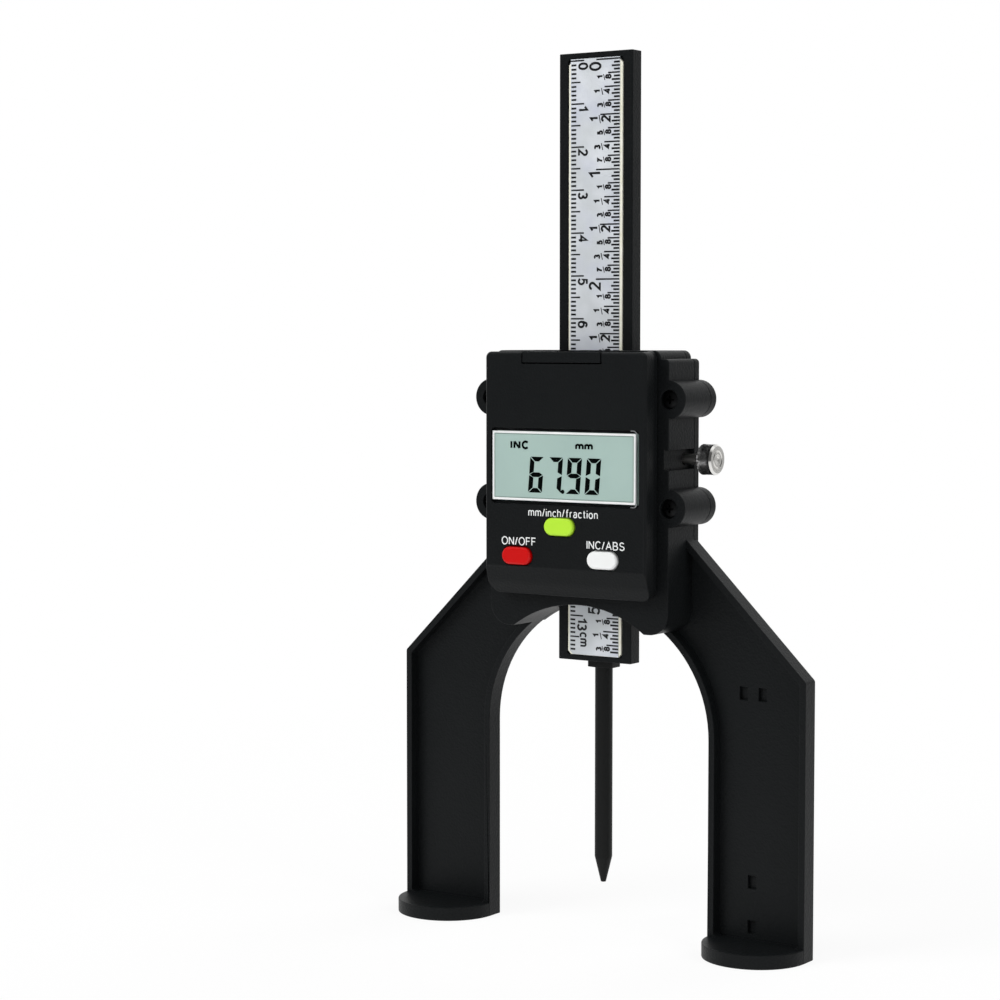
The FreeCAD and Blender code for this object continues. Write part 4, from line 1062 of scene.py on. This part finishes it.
@dataclass
class Rule(SubAssembly):
    """Sliding beam with its graduated board, the printed film on it and the probe below."""

    edge: float = 0.12
    probe_edge: float = 0.12
    zero: float = 205.65
    fine_tick: float = 0.45
    long_tick: float = 0.36
    left: float = -6.57
    right: float = 6.85
    margin: float = 0.2
    board_left: float = -7.08
    board_drop: float = 0.6
    corner: float = 0.8
    millimetre_ticks: int = 139
    inch_ticks: int = 175
    fine_reach: float = 1.35
    half_reach: float = 2.5
    whole_reach: float = 3.5
    sign_width: float = 3.5
    bar_lean: float = 0.18
    bar_width: float = 0.22
    bar_past: float = 0.2

    def build(self) -> None:
        """Softens the mouldings, cuts the film and prints both scales on it."""
        self.soften("beam", self.edge, BLACK_ABS)
        self.soften("probe", self.probe_edge, BLACK_NYLON)
        self.board()
        self.film()
        self.centimetres()
        self.inches()

    def board(self) -> None:
        """The pale board, drawn in a little at its left and its top."""
        low, high = (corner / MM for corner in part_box("scale_board"))
        bm = bmesh.new()
        block(bm, (self.board_left, low.y, low.z), (high.x, high.y, high.z - self.board_drop))
        self.cut_corners(bm, bm.edges)
        make_piece("graduated_board", bm, "beam", SCALE_LAMINATE, stands_for=("scale_board",))

    def film(self) -> None:
        """The printed film, with its lower left corner cut off."""
        low, high = (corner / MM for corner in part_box("scale_label"))
        bm = bmesh.new()
        block(bm, (self.left, low.y, low.z), (self.right, high.y, high.z))
        reach = (self.left + low.z + self.corner) * MM
        self.cut_corners(bm, [e for e in bm.edges if max(v.co.x + v.co.z for v in e.verts) < reach])
        make_piece("scale_film", bm, "beam", SCALE_FOIL, stands_for=("scale_label",))

    def cut_corners(self, bm: BMesh, edges: Any) -> None:
        """Cuts the corners of a plate at those of the given edges that run through its thickness."""
        through = [e for e in edges if abs((e.verts[0].co - e.verts[1].co).normalized().y) > 0.5]
        cut_edges(bm, through, self.corner, steps=1)

    def tick(self, ink: Print, start: float, length: float, z: float, weight: float) -> None:
        """Prints one line across the film from a place along X."""
        ink.line((min(start, start + length), max(start, start + length)), (z - weight / 2, z + weight / 2))

    def centimetres(self) -> None:
        """The left scale: a tick for each millimetre and a number for each centimetre."""
        ink = Print(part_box("scale_label")[0].y / MM)
        start = self.left + self.margin
        self.tick(ink, self.left, self.margin, self.zero, self.long_tick)
        for step in range(self.millimetre_ticks):
            length = self.fine_reach if step % 5 else self.half_reach if step % 10 else self.whole_reach
            self.tick(ink, start, length, self.zero - step, self.fine_tick if step % 5 else self.long_tick)
        figure, sign = CENTIMETRE_FIGURE, CENTIMETRE_SIGN
        for number in range(self.millimetre_ticks // 10 + 1):
            corner = (self.left + figure.foot, self.zero - 10 * number - figure.drop)
            word = Legend(str(number), corner, figure.height, figure.pen, reading=Reading.DOWN)
            width = ink.word(word)
        corner = (self.left + sign.foot, corner[1] - width - sign.drop)
        ink.word(Legend("cm", corner, sign.height, sign.pen, self.sign_width, Reading.DOWN))
        ink.piece("centimetre_scale", "beam", SCALE_INK)

    def inches(self) -> None:
        """The right scale: a tick for each thirty-second, a number for each inch and eighth."""
        ink = Print(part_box("scale_label")[0].y / MM)
        for step in range(self.inch_ticks):
            length = next(reach for part, reach in INCH_TICKS.items() if step % part == 0)
            z = self.zero - step * INCH / 32
            self.tick(ink, self.right, -length, z, self.fine_tick if step % 4 else self.long_tick)
            if step % 32 == 0:
                self.figure(ink, step // 32, INCH_FIGURE, z)
            elif step % 4 == 0:
                self.fraction(ink, z, step % 32 // 4)
        ink.piece("inch_scale", "beam", SCALE_INK)

    def figure(self, ink: Print, number: int, figure: Figure, z: float) -> float:
        """Prints a number that reads upwards and ends below its tick, and gives the ink's width."""
        corner = (self.right - figure.foot, z - figure.drop)
        return ink.word(Legend(str(number), corner, figure.height, figure.pen, None, Reading.UP, True))

    def fraction(self, ink: Print, z: float, eighths: int) -> None:
        """Prints a fraction below its tick, with a thin leaning bar between its two numbers.

        Args:
            ink: The print that it goes in.
            z: The tick's height.
            eighths: The fraction in eighths.
        """
        shared = math.gcd(eighths, 8)
        upper, under = FRACTION_FIGURES[8 // shared]
        widths = (self.figure(ink, eighths // shared, upper, z), self.figure(ink, 8 // shared, under, z))
        middle = self.right - (upper.foot + under.foot + under.height) / 2
        top = z - under.drop
        low = top - max(widths) - self.bar_past
        lean, half = self.bar_lean, self.bar_width / 2
        ink.outline(
            [
                (middle + lean - half, low),
                (middle + lean + half, low),
                (middle - lean + half, top),
                (middle - lean - half, top),
            ]
        )


@dataclass
class Lock(SubAssembly):
    """Thumb screw with its knurled knob, and the shoe that it presses."""

    depth: float = SCREW_AXIS[1]
    height: float = SCREW_AXIS[2]
    radius: float = 3.55
    start: float = 27.7
    length: float = 4.1
    chamfer: float = 0.45
    shank: float = 1.25
    shank_start: float = 12.1
    teeth: int = 30
    rows: int = 6
    cut: float = 0.3
    ring: float = 1.9
    ring_half: float = 0.2
    ring_depth: float = 0.12
    centre_radius: float = 0.6
    centre_depth: float = 0.3

    def build(self) -> None:
        """Turns the screw, knurls its knob and coats the shoe."""
        self.screw()
        self.coat({"lock_shoe": BRASS})

    def screw(self) -> None:
        """Spins the screw's profile about its axis and presses the knurl into the knob."""
        end = self.start + self.length
        first, last = self.start + self.chamfer, end - self.chamfer
        knurl = [first + (last - first) * i / self.rows for i in range(self.rows + 1)]
        profile = [
            (self.shank_start, 0.0),
            (self.shank_start, self.shank),
            (self.start, self.shank),
            (self.start, self.radius - self.chamfer),
            *[(x, self.radius) for x in knurl],
            (end, self.radius - self.chamfer),
            (end, self.ring + self.ring_half),
            (end - self.ring_depth, self.ring),
            (end, self.ring - self.ring_half),
            (end, self.centre_radius),
            (end - self.centre_depth, 0.0),
        ]
        bm = bmesh.new()
        verts = [bm.verts.new((x, 0.0, r)) for x, r in profile]
        edges = [bm.edges.new(pair) for pair in zip(verts, verts[1:])]
        bmesh.ops.spin(
            bm,
            geom=[*verts, *edges],
            cent=(0, 0, 0),
            axis=(1, 0, 0),
            angle=2 * math.pi,
            steps=2 * self.teeth,
            use_merge=True,
        )
        bmesh.ops.remove_doubles(bm, verts=bm.verts, dist=WELD)
        for vert in bm.verts:
            self.press(vert, knurl)
        bmesh.ops.recalc_face_normals(bm, faces=bm.faces)
        place = Matrix.Translation(Vector((0.0, self.depth, self.height)) * MM) @ Matrix.Scale(MM, 4)
        bmesh.ops.transform(bm, matrix=place, verts=bm.verts)
        body = "lock_screw"
        screw = make_piece("thumb_screw", bm, body, NICKEL_TURNED, (body,), crease=28.0)
        for finish in (NICKEL_KNURLED, NICKEL_POLISHED):
            screw.data.materials.append(finish.material())
        for face in screw.data.polygons:
            x = face.center.x / MM
            radius = math.hypot(face.center.y / MM - self.depth, face.center.z / MM - self.height)
            if self.start < x < end and radius > self.radius - self.chamfer:
                face.material_index = 1 if first < x < last else 2

    def press(self, vert: BMVert, knurl: list[float]) -> None:
        """Sinks every other point of the knob's barrel, in a diamond pattern.

        Args:
            vert: A vertex of the spun screw, about the axis.
            knurl: The places along the barrel that carry the pattern.
        """
        radius = math.hypot(vert.co.y, vert.co.z)
        rows = [i for i, x in enumerate(knurl) if abs(vert.co.x - x) < WELD]
        if radius < self.radius - WELD or not rows or rows[0] in (0, len(knurl) - 1):
            return
        turn = round(math.atan2(vert.co.y, vert.co.z) / (math.pi / self.teeth))
        if (turn + rows[0]) % 2:
            vert.co.yz = vert.co.yz * (1 - self.cut / radius)


# Studio


@dataclass(frozen=True)
class Rise:
    """A mirrored level that grows one way between two depths, from dark in front of the gauge."""

    way: tuple[float, float, float]
    start: float
    end: float
    level: float


@dataclass(frozen=True)
class Lamp:
    """A square lamp: its place, the height on the gauge that it points at, its side and its power."""

    name: str
    place: tuple[float, float, float]
    target: float
    size: float
    watts: float


@dataclass
class Studio:
    """Pale floor, white surroundings, soft lamps and the camera."""

    location: tuple[float, float, float] = (313.66, -502.36, 141.73)
    target: tuple[float, float, float] = (-18.44, -8.71, 103.16)
    lens: float = 91.35
    floor_size: float = 6000.0
    floor_drop: float = 0.05
    near_glow: float = 0.9
    glow_reach: tuple[float, float] = (80.0, 400.0)
    image_reach: tuple[float, float] = (500.0, 1200.0)
    ambient: float = 0.3
    mirrored_front: float = 0.08
    mirrored_far: float = 0.33
    behind: Rise = Rise((-0.6, 0.75, 0.2), -0.3, 1.1, 1.0)
    overhead: Rise = Rise((0.0, 0.0, 1.0), 0.6, 0.9, 1.3)
    along_floor: Rise = Rise((0.0, 1.0, 0.0), -0.9, 0.05, 0.85)
    lamps: tuple[Lamp, ...] = (
        Lamp("key_lamp", (-420, -620, 620), 110, 520.0, 5.0),
        Lamp("side_lamp", (720, -60, 420), 100, 500.0, 2.0),
        Lamp("low_lamp", (140, -680, 30), 90, 420.0, 1.4),
        Lamp("back_lamp", (120, 640, 560), 120, 480.0, 3.0),
    )

    def build(self) -> None:
        """Sets up the camera, the surroundings, the floor and the lamps."""
        bpy.context.scene.view_settings.view_transform = "Standard"
        self.camera()
        self.surroundings()
        self.floor()
        for lamp in self.lamps:
            self.lamp(lamp)

    def camera(self) -> None:
        """Puts the camera at the picture's viewing angle."""
        data = bpy.data.cameras.new("camera")
        data.lens = self.lens
        data.sensor_width = 36.0
        data.clip_start = 0.01
        data.clip_end = 20.0
        camera = bpy.data.objects.new("camera", data)
        scene = bpy.context.scene
        scene.collection.objects.link(camera)
        self.aim(camera, self.location, self.target)
        scene.camera = camera

    def aim(self, thing: bpy.types.Object, place: tuple, target: tuple) -> None:
        """Places an object and points it at a target, both in millimetres."""
        thing.location = Vector(place) * MM
        thing.rotation_euler = (Vector(target) - Vector(place)).to_track_quat("-Z", "Y").to_euler()

    def surroundings(self) -> None:
        """A world white to the eye, grey as light, and bright as a mirror image only behind and above."""
        world = bpy.data.worlds.new("studio")
        bpy.context.scene.world = world
        world.use_nodes = True
        tree = world.node_tree
        tree.nodes.clear()
        aim = add_node(tree, "TexCoord", output="Generated")
        back, top = (self.mirrored(tree, aim, rise) for rise in (self.behind, self.overhead))
        image = add_node(tree, "Math", {0: back, 1: top}, operation="MAXIMUM")
        glossy, seen = self.rays(tree)
        light = add_node(tree, "Mix", {0: glossy, 2: self.ambient, 3: image})
        level = add_node(tree, "Mix", {0: seen, 2: light, 3: 1.0})
        white = add_node(tree, "Background", {"Color": linear("#ffffff"), "Strength": level})
        add_node(tree, "OutputWorld", {"Surface": white})

    def rays(self, tree: bpy.types.NodeTree) -> tuple[Any, Any]:
        """Tells a ray that mirrors the studio from one that sees it.

        Args:
            tree: The node tree that asks.

        Returns:
            Sockets that are one for a mirrored ray, and for one that comes from the eye, also through glass.
        """
        names = ("Is Glossy Ray", "Is Camera Ray", "Is Transmission Ray")
        glossy, straight, through = (add_node(tree, "LightPath", output=name) for name in names)
        return glossy, add_node(tree, "Math", {0: straight, 1: through}, operation="MAXIMUM")

    def mirrored(self, tree: bpy.types.NodeTree, place: Any, rise: Rise) -> Any:
        """Works out the level of a mirror image.

        Args:
            tree: The node tree.
            place: The socket that gives the place or the direction.
            rise: How the level grows.

        Returns:
            The level's socket.
        """
        depth = add_node(tree, "VectorMath", {0: place, 1: rise.way}, "Value", operation="DOT_PRODUCT")
        past = {"Value": depth, "From Min": rise.start, "From Max": rise.end}
        levels = {"To Min": self.mirrored_front, "To Max": rise.level}
        return add_node(tree, "MapRange", past | levels, interpolation_type="SMOOTHSTEP")

    def with_distance(
        self, tree: bpy.types.NodeTree, place: Any, reach: tuple[float, float], near: float, far: float
    ) -> Any:
        """Works out a level that changes with the distance from the gauge.

        Args:
            tree: The node tree.
            place: The socket that gives the place.
            reach: Where the change starts and ends, in millimetres.
            near: The level up to there.
            far: The level past there.

        Returns:
            The level's socket.
        """
        distance = add_node(tree, "VectorMath", {0: place}, "Value", operation="LENGTH")
        past = {"Value": distance, "From Min": reach[0] * MM, "From Max": reach[1] * MM}
        return add_node(tree, "MapRange", past | {"To Min": near, "To Max": far})

    def floor(self) -> None:
        """A pale floor that turns white with distance and keeps a faint shadow near the feet."""
        bm = bmesh.new()
        bmesh.ops.create_grid(bm, x_segments=4, y_segments=4, size=self.floor_size / 2 * MM)
        bmesh.ops.translate(bm, vec=(0, 0, -self.floor_drop * MM), verts=bm.verts)
        mesh = bpy.data.meshes.new("floor")
        bm.to_mesh(mesh)
        bm.free()
        floor = bpy.data.objects.new("floor", mesh)
        bpy.context.scene.collection.objects.link(floor)
        # White painted board: matt, with the glow that a bright sweep shows to the eye
        board = bpy.data.materials.new("white_painted_sweep")
        board.use_nodes = True
        tree = board.node_tree
        tree.nodes.clear()
        place = add_node(tree, "TexCoord", output="Object")
        rising = self.mirrored(tree, place, self.along_floor)
        fading = self.with_distance(tree, place, self.image_reach, 1.0, self.mirrored_far)
        image = add_node(tree, "Math", {0: rising, 1: fading}, operation="MULTIPLY")
        glow = self.with_distance(tree, place, self.glow_reach, self.near_glow, 1.0)
        glossy, seen = self.rays(tree)
        share = add_node(tree, "Mix", {0: seen, 2: glossy, 3: glow})
        level = add_node(tree, "Mix", {0: glossy, 2: 1.0, 3: image})
        paint = add_node(tree, "BsdfDiffuse", {"Color": linear("#f7f7f7"), "Roughness": 0.6})
        light = add_node(tree, "Emission", {"Color": linear("#ffffff"), "Strength": level})
        mixed = add_node(tree, "MixShader", {0: share, 1: paint, 2: light})
        add_node(tree, "OutputMaterial", {"Surface": mixed})
        mesh.materials.append(board)

    def lamp(self, lamp: Lamp) -> None:
        """Adds a soft lamp behind a polarising sheet, so that glossy faces don't show its image.

        Args:
            lamp: What it is.
        """
        data = bpy.data.lights.new(lamp.name, "AREA")
        data.size = lamp.size * MM
        data.energy = lamp.watts
        thing = bpy.data.objects.new(lamp.name, data)
        thing.visible_glossy = False
        bpy.context.scene.collection.objects.link(thing)
        self.aim(thing, lamp.place, (0, 0, lamp.target))


def corners(bounds: tuple[Vector, Vector]) -> list[list[float]]:
    """A box's two corners as plain lists."""
    return [list(corner) for corner in bounds]


def main() -> None:
    """Dresses the gauge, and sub-assembly by sub-assembly."""
    logging.basicConfig(level=logging.INFO, format="%(message)s")
    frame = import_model()
    Studio().build()
    for part in (Stand(frame), Readout(frame), Rule(frame), Lock(frame)):
        log.info("%s", type(part).__name__)
        part.build()
    bpy.context.view_layer.update()


if __name__ == "__main__":
    main()
